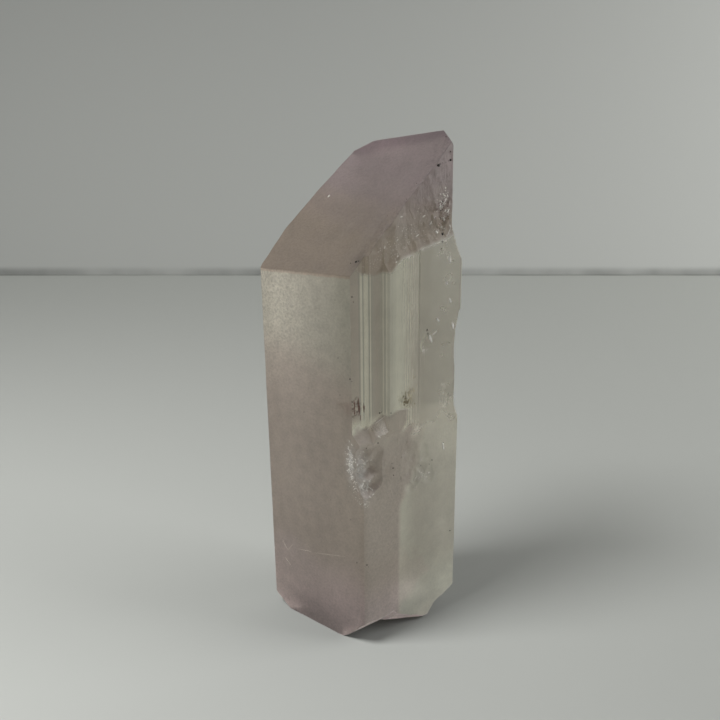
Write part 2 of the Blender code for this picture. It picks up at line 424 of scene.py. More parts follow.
    def cells(self, tree: Tree, place: Socket) -> tuple[Socket, Socket]:
        """The small facets of a break: cells with bent borders, in two sizes.

        Args:
            tree: the material's nodes.
            place: the place on the piece.

        Returns:
            A random number for each cell, and the depth below the cells' borders.
        """
        bend = add_node(
            tree, "ShaderNodeTexNoise",
            {"Vector": place, "Scale": 1 / (self.bend_mm * MM), "Detail": 2.0},
        ).outputs["Color"]
        bent = add_node(
            tree, "ShaderNodeVectorMath", {0: bend, 1: (0.5 * MM,) * 3, 2: place},
            operation="MULTIPLY_ADD",
        ).outputs["Vector"]
        large = add_node(
            tree, "ShaderNodeTexVoronoi", {"Vector": bent, "Scale": 1 / (self.hackle_mm * MM)},
        )
        small = add_node(
            tree, "ShaderNodeTexVoronoi", {"Vector": bent, "Scale": 1 / (0.38 * self.hackle_mm * MM)},
        )
        number = add_node(
            tree, "ShaderNodeSeparateColor", {"Color": large.outputs["Color"]},
        ).outputs["Red"]
        half = add_node(
            tree, "ShaderNodeMath", {0: small.outputs["Distance"], 1: 0.5}, operation="MULTIPLY",
        ).outputs["Value"]
        depth = add_node(
            tree, "ShaderNodeMath", {0: large.outputs["Distance"], 1: half}, operation="ADD",
        ).outputs["Value"]
        return number, depth

    def roughness(
        self, tree: Tree, etched: Socket, broken: Socket, mottle: Socket, cell: Socket,
    ) -> Socket:
        """Glossy to etched by the mask, uneven by the blotches, and by cell where it is broken.

        Args:
            tree: the material's nodes.
            etched: how etched each place is.
            broken: how broken each place is.
            mottle: the blotches.
            cell: a random number for each cell of a break.

        Returns:
            The roughness.
        """
        rough = add_node(
            tree, "ShaderNodeMapRange",
            {"Value": etched, "To Min": self.gloss_roughness, "To Max": self.etched_roughness},
        ).outputs["Result"]
        uneven = add_node(
            tree, "ShaderNodeMapRange", {"Value": mottle, "To Min": 0.80, "To Max": 1.20},
        ).outputs["Result"]
        rough = add_node(
            tree, "ShaderNodeMath", {0: rough, 1: uneven}, operation="MULTIPLY",
        ).outputs["Value"]
        facet = add_node(
            tree, "ShaderNodeMapRange", {"Value": cell, "To Min": 0.12, "To Max": 0.75},
        ).outputs["Result"]
        return add_node(tree, "ShaderNodeMix", {0: broken, 2: rough, 3: facet}).outputs[0]

    def relief(
        self, tree: Tree, place: Socket, sparkle: Socket, broken: Socket, cell_depth: Socket,
    ) -> Socket:
        """Etch grain, growth ribs drawn out along the prism, and the facets of the breaks.

        Args:
            tree: the material's nodes.
            place: the place on the piece.
            sparkle: how strong the grain is, and the painted glitter in the colour.
            broken: how broken each place is.
            cell_depth: the depth below the borders of a break's cells.

        Returns:
            The normal.
        """
        ribbed = add_node(tree, "ShaderNodeAttribute", attribute_name="ribbed").outputs["Fac"]
        grain = add_node(
            tree, "ShaderNodeTexNoise",
            {"Vector": place, "Scale": 1 / (self.grain_mm * MM), "Detail": 3.0, "Roughness": 0.6},
        ).outputs["Fac"]
        drawn = add_node(
            tree, "ShaderNodeMapping", {"Vector": place, "Scale": (1.0, 1.0, self.rib_stretch)},
        ).outputs["Vector"]
        ribs = add_node(
            tree, "ShaderNodeTexNoise",
            {"Vector": drawn, "Scale": 1 / (self.rib_mm * MM), "Detail": 2.0, "Roughness": 0.7},
        ).outputs["Fac"]
        normal = None
        for pattern, mask, strength, depth_mm in (
            (grain, sparkle, 1.0, self.grain_depth_mm),
            (ribs, ribbed, 0.8, self.rib_depth_mm),
            (cell_depth, broken, 1.0, self.hackle_depth_mm),
        ):
            height = add_node(
                tree, "ShaderNodeMath", {0: pattern, 1: mask}, operation="MULTIPLY",
            ).outputs["Value"]
            inputs = {"Height": height, "Strength": strength, "Distance": depth_mm * MM}
            if normal is not None:
                inputs["Normal"] = normal
            normal = add_node(tree, "ShaderNodeBump", inputs).outputs["Normal"]
        return normal


@dataclass(frozen=True)
class GrainFinish:
    """Iron stain, dirt and crushed stone: dull grains of one colour, a little uneven.

    Stain is limonite, ochre to brown, and rust is redder. Stone that is crushed by a knock is
    white, because its many small faces scatter light. Some white grains stand in for glints, as
    painted highlights.
    """

    name: str
    colour: str
    mottle_mm: float = 0.2

    def material(self) -> Material:
        """The grains' material."""
        made = bpy.data.materials.new(self.name)
        made.use_nodes = True
        tree = made.node_tree
        shader = tree.nodes["Principled BSDF"]
        place = add_node(tree, "ShaderNodeTexCoord").outputs["Object"]
        noise = add_node(
            tree, "ShaderNodeTexNoise",
            {"Vector": place, "Scale": 1 / (self.mottle_mm * MM), "Detail": 2.0},
        ).outputs["Fac"]
        shade = add_node(
            tree, "ShaderNodeMapRange", {"Value": noise, "To Min": 0.6, "To Max": 1.3},
        ).outputs["Result"]
        colour = add_node(
            tree, "ShaderNodeVectorMath", {0: linear(self.colour)[:3], 1: shade}, operation="MULTIPLY",
        ).outputs["Vector"]
        tree.links.new(colour, shader.inputs["Base Color"])
        shader.inputs["Roughness"].default_value = 0.75
        return made


@dataclass(frozen=True)
class VeilFinish:
    """A healed crack: a film of tiny bubbles or stain that shows in patches, milky or brown."""

    name: str
    colour: str
    cover: float
    patch_mm: float = 0.9

    def material(self) -> Material:
        """The film's material."""
        made = bpy.data.materials.new(self.name)
        made.use_nodes = True
        tree = made.node_tree
        tree.nodes.clear()
        out = add_node(tree, "ShaderNodeOutputMaterial")
        place = add_node(tree, "ShaderNodeTexCoord").outputs["Object"]
        fade = add_node(tree, "ShaderNodeAttribute", attribute_name="fade").outputs["Fac"]
        noise = add_node(
            tree, "ShaderNodeTexNoise",
            {"Vector": place, "Scale": 1 / (self.patch_mm * MM), "Detail": 5.0, "Roughness": 0.7},
        ).outputs["Fac"]
        patch = add_node(
            tree, "ShaderNodeMapRange",
            {"Value": noise, "From Min": 0.42, "From Max": 0.66, "To Min": 0.0, "To Max": self.cover},
        ).outputs["Result"]
        patch = add_node(
            tree, "ShaderNodeMath", {0: patch, 1: fade}, operation="MULTIPLY",
        ).outputs["Value"]
        film = add_node(
            tree, "ShaderNodeBsdfPrincipled", {"Base Color": linear(self.colour), "Roughness": 0.45},
        ).outputs["BSDF"]
        clear = add_node(tree, "ShaderNodeBsdfTransparent").outputs["BSDF"]
        mixed = add_node(tree, "ShaderNodeMixShader", {0: patch, 1: clear, 2: film}).outputs["Shader"]
        tree.links.new(mixed, out.inputs["Surface"])
        return made


@dataclass
class Crystal:
    """The crystal's outside, in the CAD model's own sizes, with its relief added."""

    front_width: float = 15.9
    side_width: float = 15.1
    front_turn: float = radians(39)
    side_turn: float = radians(37)
    back_corner: tuple[float, float] = (0.1, 17.6)
    back_right: tuple[float, float] = (1.6, 18.0)
    right_back: tuple[float, float] = (11.9, 10.68)
    left_swell: tuple[tuple[float, float], ...] = ((0.28, 0.9), (0.60, 0.7))
    lean: float = -0.0105
    middle: tuple[float, float] = (-0.35086, 8.95121)

    slope_height: float = 50.67
    rise_right: float = 0.698
    rise_back: float = 0.667
    ridge_right: tuple[float, float] = (9.68, 11.4)
    back_facet_slope: float = radians(65)
    ridge_left_wear: tuple = ((1.0, 16.6, 62.4), (-1.0, 17.0, 61.3), (-1.2, 18.6, 58.0))
    ridge_right_wear: tuple = ((9.0, 11.4, 64.6), (10.0, 8.7, 63.4), (11.2, 12.0, 61.0))

    # The cleaved profile: depth at each place along the face, above the ledge and below it
    cleaved_u: tuple[float, ...] = (-1.0, 1.68, 1.82, 3.82, 4.08, 16.0)
    cleaved_w: tuple[float, ...] = (1.6, 1.6, 1.04, 1.04, 0.0, 0.0)
    slab_proud: float = 0.4
    slab_end: float = 5.6
    ledge_u: tuple[float, ...] = (-0.5, 1.7, 1.94, 3.16, 5.18, 5.96, 7.2)
    ledge_foot: tuple[float, ...] = (28.0, 28.3, 29.4, 29.2, 29.1, 29.7, 31.9)
    ledge_top: tuple[float, ...] = (30.2, 30.9, 31.2, 31.9, 32.6, 32.6, 32.4)

    # The broken shoulder: place along the face, depth, and height of its foot
    shoulder: tuple[tuple[float, float, float], ...] = (
        (-2.0, 0.1, 50.5), (0.4, 0.15, 50.6), (1.2, 1.0, 49.9), (3.0, 1.25, 49.7),
        (4.4, 1.25, 50.0), (5.6, 1.05, 51.2), (7.2, 1.25, 51.5), (9.2, 1.10, 52.1),
        (11.2, 0.90, 52.4), (13.6, 1.00, 52.9), (17.0, 1.20, 53.2),
    )

    # How far the right side reaches at each height, where its corner is broken and worn
    reach_z: tuple[float, ...] = (-1.0, 24.5, 30.5, 41.0, 43.0, 45.0, 48.0, 51.0, 54.0, 70.0)
    reach_x: tuple[float, ...] = (14.5, 13.6, 11.5, 11.4, 11.9, 13.3, 12.75, 11.5, 10.7, 10.7)

    hollow_place: tuple[float, float, float] = (0.1, -1.0, 26.2)
    hollow_radii: tuple[float, float, float] = (3.3, 2.1, 5.0)

    foot_break: float = 3.5
    foot_break_end: float = 4.8
    foot_slope_in: float = 1.02
    foot_slope_along: float = 0.577

    # How far the foot's rim at the side face stands above its plain breaks
    foot_lift_u: tuple[float, ...] = (4.8, 5.4, 6.4, 8.0, 9.8, 11.0, 11.8, 12.6, 13.4, 15.1)
    foot_lift: tuple[float, ...] = (0.0, -0.5, -0.4, -0.1, 0.0, 0.6, 1.1, 0.8, 0.4, 0.5)

    front_round: float = 1.1
    fresh_round: float = 0.1
    edge_round: float = 0.3
    edge_wear: float = 0.11
    edge_probe: float = -0.15

    # Chips and facets of the breaks, each over its own patch of a face
    shoulder_pits: Chips = Chips(260, (-0.5, 15.5), (49.0, 63.0), (0.2, 0.8), (0.01, 0.07), 11)
    shoulder_facets: Facets = Facets(420, (0.0, 15.5), (49.0, 64.0), 12)
    crest_facets: Facets = Facets(26, (9.0, 15.5), (50.5, 60.0), 35)
    crest_place: tuple[float, float] = (12.4, 55.6)
    hollow_shells: Chips = Chips(70, (-0.8, 3.4), (21.5, 30.5), (0.25, 0.8), (0.02, 0.13), 5)
    hollow_facets: Facets = Facets(90, (-2.5, 5.0), (20.5, 31.5), 6)
    band_chips: Chips = Chips(46, (1.0, 8.6), (20.0, 29.0), (0.5, 1.7), (0.05, 0.34), 23)
    right_chips: Chips = Chips(20, (7.2, 10.6), (21.5, 26.5), (0.3, 0.9), (0.04, 0.2), 31)
    knock: Chips = Chips(5, (9.3, 10.1), (39.6, 41.2), (0.35, 0.8), (0.12, 0.36), 3)
    dents: Chips = Chips(60, (10.4, 15.5), (14.0, 50.0), (0.6, 2.2), (0.005, 0.02), 41)
    front_scars: Chips = Chips(9, (9.0, 13.5), (4.0, 9.5), (0.5, 1.1), (0.02, 0.07), 77)
    corner_chips: Chips = Chips(36, (4.0, 12.5), (27.0, 55.0), (0.9, 2.6), (0.03, 0.22), 59)
    low_corner_chips: Chips = Chips(16, (6.0, 12.0), (5.0, 27.0), (0.5, 1.4), (0.02, 0.14), 60)
    foot_shells: Chips = Chips(60, (-14.0, 14.0), (-2.0, 18.0), (0.6, 2.2), (0.05, 0.5), 97)

    # Tints: of the front's lower part, the clear right part, the foot of the front, and the slope
    rose: str = "#f8e6da"
    grey_green: str = "#faf9e7"
    violet: str = "#f2dfdf"
    front_cast: str = "#fff9f5"
    slope_brown: str = "#836f5f"
    slope_violet: str = "#8c767c"
    rim_red: str = "#8a5a44"

    # The cleaved stripes, as painted light and shade: how light each place along the side face is drawn
    stripe_u: tuple[float, ...] = (
        -1.0, 0.7, 0.82, 0.88, 0.95, 1.3, 1.35, 1.42, 1.5, 1.78, 1.82, 1.9, 1.98, 2.05, 2.12, 2.3,
        3.75, 3.84, 3.9, 3.96, 4.02, 4.1, 4.4, 4.45, 4.5, 4.9, 5.0, 5.68, 5.76, 5.86, 8.36, 8.48,
        8.62, 9.2, 9.3, 9.4, 9.9, 10.0, 10.1, 11.0, 15.5,
    )
    stripe_painted_light: tuple[float, ...] = (
        0.38, 0.46, 0.24, 0.24, 0.92, 0.98, 0.30, 0.30, 1.0, 1.0, 0.26, 0.32, 1.0, 0.95, 0.28, 0.42,
        0.42, 0.80, 0.28, 0.88, 0.38, 0.72, 0.76, 0.45, 0.80, 0.84, 1.0, 0.98, 0.42, 0.98, 0.94,
        0.28, 0.76, 0.76, 0.52, 0.74, 0.74, 0.54, 0.72, 0.70, 0.68,
    )

    # The mesh: columns of each part, rows of the foot's, the middle's and the top's stretch
    counts: tuple[int, ...] = (20, 4, 18, 6, 14, 3, 88, 8, 40, 8, 48, 92)
    foot_rows: int = 22
    middle_rows: tuple[tuple[float, float, int], ...] = (
        (5.5, 16.0, 14), (16.0, 33.5, 88), (33.5, 46.5, 26),
    )
    top_rows: int = 66
    top_centre: tuple[float, float] = (1.0, 9.0)
    foot_centre: tuple[float, float] = (0.0, 9.2)
    sharp_angle: float = radians(24)

    def __post_init__(self) -> None:
        """Works out the directions, corners and planes that the sizes give."""
        self.along = np.array([cos(self.side_turn), sin(self.side_turn)])
        self.inward = np.array([-sin(self.side_turn), cos(self.side_turn)])
        self.front_along = np.array([-cos(self.front_turn), sin(self.front_turn)])
        self.front_inward = np.array([sin(self.front_turn), cos(self.front_turn)])
        self.edge_lead = tan(pi / 2 - self.front_turn - self.side_turn)
        self.edge_sine = sin(self.front_turn + self.side_turn)
        self.left_corner = self.front_along * self.front_width
        self.right_corner = self.along * self.side_width
        self.slope = Plane(
            self.slope_height / (1 - self.rise_right * self.lean),
            self.rise_right / (1 - self.rise_right * self.lean),
            self.rise_back / (1 - self.rise_right * self.lean),
        )
        self.top_planes = (self.slope, self.back_facet(), *self.ridge_wear())
        self.foot_planes = self.foot_wear()

    def back_facet(self) -> Plane:
        """The steep facet behind the ridge: it holds the ridge line and falls away behind it."""
        corner = np.array(self.back_corner)
        ridge = corner - np.array(self.ridge_right)
        backwards = np.array([-ridge[1], ridge[0]]) / np.linalg.norm(ridge)
        backwards = backwards if backwards[1] > 0 else -backwards
        level = float(self.slope.height(corner))
        ends = [corner, np.array(self.ridge_right)]
        points = [np.array([*end, float(self.slope.height(end))]) for end in ends]
        fall = corner + backwards
        points.append(np.array([*fall, level - tan(self.back_facet_slope)]))
        return Plane.through(*points)

    def ridge_wear(self) -> list[Plane]:
        """The worn ends of the ridge. Their points were measured on the leaning crystal."""
        planes = []
        for places in (self.ridge_left_wear, self.ridge_right_wear):
            upright = [np.array([x - self.lean * z, y, z]) for x, y, z in places]
            planes.append(Plane.through(*upright))
        return planes

    def foot_wear(self) -> list[Plane]:
        """The small breaks of the foot at the left, the right and the back."""
        left = (self.front_along * 13.0, self.front_along * 15.9, np.array([-9.0, 14.2]))
        right = (self.plan_of(10.2, 0.0), self.plan_of(15.1, 0.0), self.plan_of(13.5, 5.0))
        back = (np.array([-3.0, 16.0]), np.array([0.1, 17.6]), np.array([4.5, 15.2]))
        heights = ((0.0, 2.0, 0.0), (0.0, 3.1, 0.0), (0.0, 1.6, 0.0))
        planes = []
        for corners, levels in zip((left, right, back), heights):
            planes.append(Plane.through(*[np.array([*c, z]) for c, z in zip(corners, levels)]))
        return planes

    def plan_of(self, u: Array, w: Array) -> Array:
        """The plan point u along the side face and w into the crystal."""
        return np.multiply.outer(u, self.along) + np.multiply.outer(w, self.inward)

    def side_depth(self, u: Array, z: Array) -> Array:
        """The side face as depth over u and z.

        The depth is the slab's below the ledge and the cleaved profile's above it, joined by a
        smooth rise between the ledge's foot and its top. The shoulder, the hollow, the chips and
        the ribs are then each carved into it, the deepest winning where they overlap.

        Args:
            u: each point's place along the face.
            z: each point's height.

        Returns:
            The depth at each point, into the crystal.
        """
        above = np.interp(u, self.cleaved_u, self.cleaved_w)
        below = -self.slab_proud * (1.0 - smooth(0.0, 0.2, u - self.slab_border(z)))
        foot = np.interp(u, self.ledge_u, self.ledge_foot)
        top = np.interp(u, self.ledge_u, self.ledge_top)
        share = np.clip((z - foot) / (top - foot), 0.0, 1.0)
        depth = below + (above - below) * share

        places, depths, floors = np.array(self.shoulder).T
        rise = z - np.interp(u, places, floors) - 0.25 * ripple(u[..., None], 1.7, 29)
        span = np.maximum(self.slope.height(self.plan_of(u, np.ones(u.shape))) - z + rise, 1.0)
        share = 0.45 * np.clip(rise / 1.1, 0.0, 1.0) + 0.55 * np.clip(rise / span, 0.0, 1.0)
        broken = np.interp(u, places, depths) * share
        on_shoulder = smooth(-0.1, 0.5, rise) * smooth(0.2, 1.4, u)
        pits = self.shoulder_pits.carve(u, z)
        facets = self.shoulder_facets.carve(u, z)
        crest = self.crest_facets.carve(u, z) * self.on_crest(u, z)
        broken = broken + on_shoulder * (1.3 * pits + 0.055 * facets + 0.45 * crest)

        offset = self.hollow_offset(u, z)
        bowl = self.hollow_place[1] + self.hollow_radii[1] * np.sqrt(np.clip(1.0 - offset, 0.0, 1.0))
        bowl = np.where(offset < 1.0, bowl, -9.0)
        inside = self.hollow_shells.carve(u, z) + 0.08 * self.hollow_facets.carve(u, z)
        bowl = bowl + inside * smooth(1.0, 0.75, offset)

        far = np.hypot(u - 0.8, z - 26.5) + 0.35 * ripple(np.stack([u, z], axis=-1), 3.2, 17)
        arcs = smooth(4.0, 4.8, far) * smooth(9.5, 6.5, far) * smooth(25.0, 21.0, z)
        arcs = 0.035 * arcs * (0.5 - 0.5 * np.cos(2.0 * pi * far / 1.3))

        band = self.band_chips.carve(u, z) * self.broken_band(u, z)
        carved = below + band * smooth(30.5, 28.5, z) + self.right_chips.carve(u, z)
        depth = np.maximum(depth, carved + (depth - below))
        worn = self.knock.carve(u, z) + self.dents.carve(u, z)
        depth = depth + worn + arcs + self.ribs(u, z)
        return np.maximum(np.maximum(depth, broken), bowl)

    def slab_border(self, z: Array) -> Array:
        """How far along the side face the slab reaches: it widens just below the ledge."""
        return self.slab_end + 1.6 * smooth(24.0, 31.0, z)

    def on_crest(self, u: Array, z: Array) -> Array:
        """1 in the middle of the shoulder's roughest patch, falling to 0 round it."""
        return bell(np.hypot(u - self.crest_place[0], z - self.crest_place[1]), 0.0, 1.9)

    def hollow_offset(self, u: Array, z: Array) -> Array:
        """The squared distance from the hollow's middle, in its radii, with an uneven border."""
        offset = ((u - self.hollow_place[0]) / self.hollow_radii[0]) ** 2
        offset = offset + ((z - self.hollow_place[2]) / self.hollow_radii[2]) ** 2
        return offset + 0.28 * ripple(np.stack([u, z], axis=-1), 2.3, 14)

    @staticmethod
    def broken_band(u: Array, z: Array) -> Array:
        """1 in the rough band below the ledge, which rises to the right, and 0 off it."""
        waver = 0.8 * ripple(np.stack([u, z], axis=-1), 3.6, 15)
        return smooth(0.2, 1.2, 2.6 - np.abs(z - 24.4 - 0.25 * (u - 4.0) + waver) * 0.62)

    def ribs(self, u: Array, z: Array) -> Array:
        """Growth ribs and cleavage steps of the side face: narrow grooves at fixed places."""
        open_face = smooth(29.0, 33.0, z)
        grooves = 0.035 * bell(u, 5.75, 0.07) * open_face
        grooves = grooves + 0.07 * bell(u, 8.49, 0.09) * smooth(40.0, 42.5, z)
        for place in (3.05, 3.4, 8.9, 9.5, 10.2, 11.6):
            grooves = grooves + 0.028 * bell(u, place, 0.07) * open_face
        return grooves

    def front_relief(self, d: Array, z: Array) -> Array:
        """Relief of the front face, as depth: shallow dents, and chips along its edges."""
        dents = 0.02 * ripple(np.stack([d, z * 0.6], axis=-1), 3.5, 8)
        return dents + self.front_scars.carve(d, z)

    def right_reach(self, plan: Array, z: Array) -> Array:
        """How far to the right the crystal reaches at each point, with its chips."""
        reach = np.interp(z, self.reach_z, self.reach_x)
        chips = self.corner_chips.carve(plan[..., 1], z)
        return reach - chips * smooth(28.0, 30.0, z) - self.low_corner_chips.carve(plan[..., 1], z)

    def plan_at(self, z: Array) -> tuple[Array, dict[str, Array]]:
        """The plan points of the wall at the given heights.

        Args:
            z: heights, one row for each row of the wall, one column for each column.

        Returns:
            The plan points, and for each point its part, its place along that part's face and
            its depth.
        """
        rows = z.shape[0]
        parts, shares = [], []
        for part, count in zip(Part, self.counts):
            crowding = 0.75 if part in (Part.FRONT, Part.SIDE) else 0.4
            parts.append(np.full(count, part.value))
            shares.append(graded(count, crowding))
        part = np.concatenate(parts)
        share = np.concatenate(shares)
        ends = np.concatenate([[0], np.cumsum(self.counts)])
        plan = np.zeros((rows, len(part), 2))
        u = np.zeros((rows, len(part)))
        w = np.zeros((rows, len(part)))

        edge_w = self.side_depth(np.full((rows, 1), self.edge_probe), z[:, :1])
        edge_u = -edge_w * self.edge_lead
        stops = [edge_u, *[np.full((rows, 1), place) for place in self.cleaved_u[1:5]]]
        end = self.slab_border(z[:, :1])
        stops += [end, end + 0.2, np.full((rows, 1), self.side_width)]
        for number in range(7):
            here = slice(ends[number], ends[number + 1])
            u[:, here] = stops[number] + (stops[number + 1] - stops[number]) * share[here]
        side = slice(0, ends[7])
        w[:, side] = self.side_depth(u[:, side], z[:, side])
        w[:, :1] = edge_w
        plan[:, side] = u[:, side, None] * self.along + w[:, side, None] * self.inward

        swell = [
            self.left_corner + (np.array(self.back_corner) - self.left_corner) * part_way
            + self.left_outward() * out
            for part_way, out in self.left_swell
        ]
        corners = [self.right_corner, np.array(self.right_back), np.array(self.back_right),
                   np.array(self.back_corner)]
        for number in (7, 8, 9):
            here = slice(ends[number], ends[number + 1])
            first, second = corners[number - 7], corners[number - 6]
            plan[:, here] = first + (second - first) * share[here][None, :, None]
        here = slice(ends[10], ends[11])
        bends = [corners[3], swell[1], swell[0], self.left_corner]
        stretch = share[here] * 3
        for axis in (0, 1):
            plan[:, here, axis] = np.interp(stretch, range(4), [point[axis] for point in bends])

        here = slice(ends[11], ends[12])
        start = edge_w / self.edge_sine
        d = self.front_width + (start - self.front_width) * share[here]
        u[:, here] = d
        off_ends = smooth(0.0, 0.5, d - start) * smooth(0.0, 0.5, self.front_width - d)
        w[:, here] = self.front_relief(d, z[:, here]) * off_ends
        plan[:, here] = d[..., None] * self.front_along + w[:, here, None] * self.front_inward

        worn = smooth(23.0, 20.0, z[:, 0])
        round_front = self.fresh_round + (self.front_round - self.fresh_round) * worn
        self.wear_corner(plan, 0, round_front)
        for number in (7, 8, 9, 10, 11):
            self.wear_corner(plan, ends[number], np.full(rows, self.edge_round))
        reach = self.right_reach(plan, z)
        cut = plan[..., 0] > reach
        cut &= (part >= Part.SIDE.value) & (part <= Part.BACK.value)
        over = np.where(cut, plan[..., 0] - reach, 0.0)
        plan[..., 0] -= over
        here = slice(ends[6], ends[9])
        ordered = np.maximum.accumulate(plan[:, here, 1], axis=1) + 2e-4 * np.arange(ends[9] - ends[6])
        plan[:, here, 1] = np.where(cut[:, here], ordered, plan[:, here, 1])
        return plan, {"part": np.broadcast_to(part, z.shape), "u": u, "w": w, "cut": over}

    def starts_of(self, part: Part) -> int:
        """The first column of a part of the plan."""
        return sum(self.counts[:part.value])

    def left_outward(self) -> Array:
        """The direction out of the left side."""
        side = np.array(self.back_corner) - self.left_corner
        out = np.array([-side[1], side[0]])
        return out / np.linalg.norm(out)

    @staticmethod
    def wear_corner(plan: Array, corner: int, radius: Array, reach: int = 7) -> None:
        """Rounds one corner of the plan, in place.

        Points nearer the corner than the arc's tangent length move onto the arc, which stands
        between the two faces with its middle under the corner.

        Args:
            plan: the wall's plan points.
            corner: the corner's column.
            radius: the radius for each row.
            reach: how many columns away the faces' directions are taken.
        """
        count = plan.shape[1]
        tip = plan[:, corner].copy()
        before = plan[:, (corner - reach) % count] - tip
        after = plan[:, (corner + reach) % count] - tip
        before /= np.linalg.norm(before, axis=1, keepdims=True) + 1e-9
        after /= np.linalg.norm(after, axis=1, keepdims=True) + 1e-9
        between = before + after
        between /= np.linalg.norm(between, axis=1, keepdims=True) + 1e-9
        cosine = np.clip((before * between).sum(axis=1), 0.05, 0.999)
        sine = np.sqrt(1.0 - cosine ** 2)
        tangent = radius * cosine / sine
        centre = tip + between * (radius / sine)[:, None]
        arc = pi / 2 - np.arccos(cosine)
        for offset in range(-40, 41):
            column = (corner + offset) % count
            away = np.linalg.norm(plan[:, column] - tip, axis=1)
            share = np.clip(away / tangent, 0.0, 1.0)
            toward = before if offset < 0 else after
            across = toward - between * (toward * between).sum(axis=1, keepdims=True)
            across /= np.linalg.norm(across, axis=1, keepdims=True) + 1e-9
            turn = (share * arc)[:, None]
            on_arc = centre + radius[:, None] * (np.sin(turn) * across - np.cos(turn) * between)
            near = (away < tangent)[:, None]
            plan[:, column] = np.where(near, on_arc, plan[:, column])

    def top_height(self, plan: Array) -> Array:
        """Height of the end face over the plan: the lowest of its planes."""
        return np.min([plane.height(plan) for plane in self.top_planes], axis=0)

    def foot_height(self, plan: Array) -> Array:
        """Height of the foot over the plan: 0 on the flat, and the highest of its breaks off it."""
        u = plan @ self.along
        w = plan @ self.inward
        front = self.foot_break - self.foot_slope_in * w
        front = front - self.foot_slope_along * np.maximum(u - self.foot_break_end, 0.0)
        lift = np.interp(u, self.foot_lift_u, self.foot_lift) * smooth(4.0, 1.0, w)
        front = np.logaddexp(0.0, 2.6 * (front + lift)) / 2.6
        heights = [plane.height(plan) for plane in self.foot_planes]
        heights[1] = heights[1] + lift
        raw = np.max([np.zeros(u.shape), front, *heights], axis=0)
        shells = self.foot_shells.carve(plan[..., 0], plan[..., 1])
        return np.maximum(raw - 0.12, 0.0) + shells * smooth(0.1, 1.2, raw)

    def upright(self, plan: Array, z: Array) -> Array:
        """Points in the row's frame: the plan leans with height, and its box stands centred."""
        x = plan[..., 0] + self.lean * z - self.middle[0]
        y = plan[..., 1] - self.middle[1]
        return np.stack([x, y, z], axis=-1)

    def build(self, material: Material) -> Object:
        """Makes the crystal's closed surface with its masks.

        Args:
            material: the stone's material.

        Returns:
            The crystal.
        """
        columns = sum(self.counts)
        # The plan changes with height, so both rims are found by trying again from a first guess
        top = np.full((1, columns), 55.0)
        foot = np.full((1, columns), 1.0)
        for _ in range(6):
            top = self.top_height(self.plan_at(top)[0])
            foot = self.foot_height(self.plan_at(foot)[0])
        number = np.arange(columns)
        rim_wear = self.edge_wear * (1.0 + 0.8 * ripple(number[:, None] * 1.0, 9.0, 4))
        on_left = (number >= self.starts_of(Part.LEFT)) & (number < self.starts_of(Part.FRONT))
        left_wear = 0.20 + 0.22 * ripple(number[:, None] * 1.0, 7.0, 24)
        rim_wear = rim_wear + np.where(on_left, left_wear, 0.0)
        top = top - rim_wear
        foot = foot + self.edge_wear
        low, high = self.middle_rows[0][0], self.middle_rows[-1][1]
        middle = np.concatenate([np.linspace(*rows, endpoint=False) for rows in self.middle_rows])
        z = np.concatenate([
            foot + (low - foot) * np.linspace(0, 1, self.foot_rows, endpoint=False)[:, None],
            np.broadcast_to(middle[:, None], (len(middle), columns)),
            high + (top - high) * np.linspace(0, 1, self.top_rows)[:, None],
        ])
        plan, facts = self.plan_at(z)
        surface = Surface([], {})
        masks = self.wall_masks(z, facts)
        for row in range(len(z)):
            row_masks = {name: value[row] for name, value in masks.items()}
            surface.add(self.upright(plan[row], z[row]), **row_masks)
        self.close_top(surface, plan[-1], rim_wear)
        wall_and_top = len(surface.rows)
        self.close_foot(surface, plan[0])
        return self.join(surface, wall_and_top, material)

    def wall_masks(self, z: Array, facts: dict[str, Array]) -> dict[str, Array]:
        """The masks of the wall: how etched, ribbed, broken and clear it is, its grain and tint.

        Args:
            z: each point's height.
            facts: each point's part, its place along that part's face, and how far it is cut.

        Returns:
            A value from 0 to 1 at each point for each mask.
        """
        part, u = facts["part"], facts["u"]
        side = part <= Part.SIDE.value
        front = part == Part.FRONT.value
        back = ~side & ~front
        spot = np.stack([u, z], axis=-1)
        uneven = ripple(spot * [1.0, 0.5], 2.6, 33)
        lower = smooth(30.5, 27.0, z + 1.2 * uneven)
        right = smooth(8.6, 12.0, u + 0.8 * uneven)
        on_ledge = self.on_ledge(u, z)
        shoulder = self.on_shoulder(u, z)
        crest = self.on_crest(u, z)
        hollow = smooth(1.1, 0.8, self.hollow_offset(u, z))
        band = self.broken_band(u, z) * smooth(9.5, 7.5, u) * smooth(0.1, 0.6, uneven + 0.5)
        matt = self.pinkish(u, z) * (0.95 - 0.35 * smooth(21.0, 25.0, z))
        sheen = self.sheen(u, z)

        # How etched, ribbed and broken
        on_side = np.maximum(0.12 + lower * 0.42 + 0.2 * right + 0.1 * on_ledge, 0.9 * matt)
        on_side = np.maximum.reduce([on_side, shoulder * (0.86 - 0.4 * crest), 0.82 * hollow])
        clear_front = bell(u, 1.5, 3.0) * smooth(35.0, 40.0, z)
        etched = np.where(side, on_side, np.where(front, 0.95 - 0.3 * clear_front, 0.62))
        ribbed = np.where(side, 0.8 - 0.5 * lower, np.where(back, 0.5, 0.05))
        broken = np.maximum.reduce([
            shoulder * (0.22 + 0.6 * crest), 0.2 * hollow, 0.25 * band,
        ])
        broken = np.where(side, broken, np.where(back, 0.25 * (facts["cut"] > 0), 0.0))
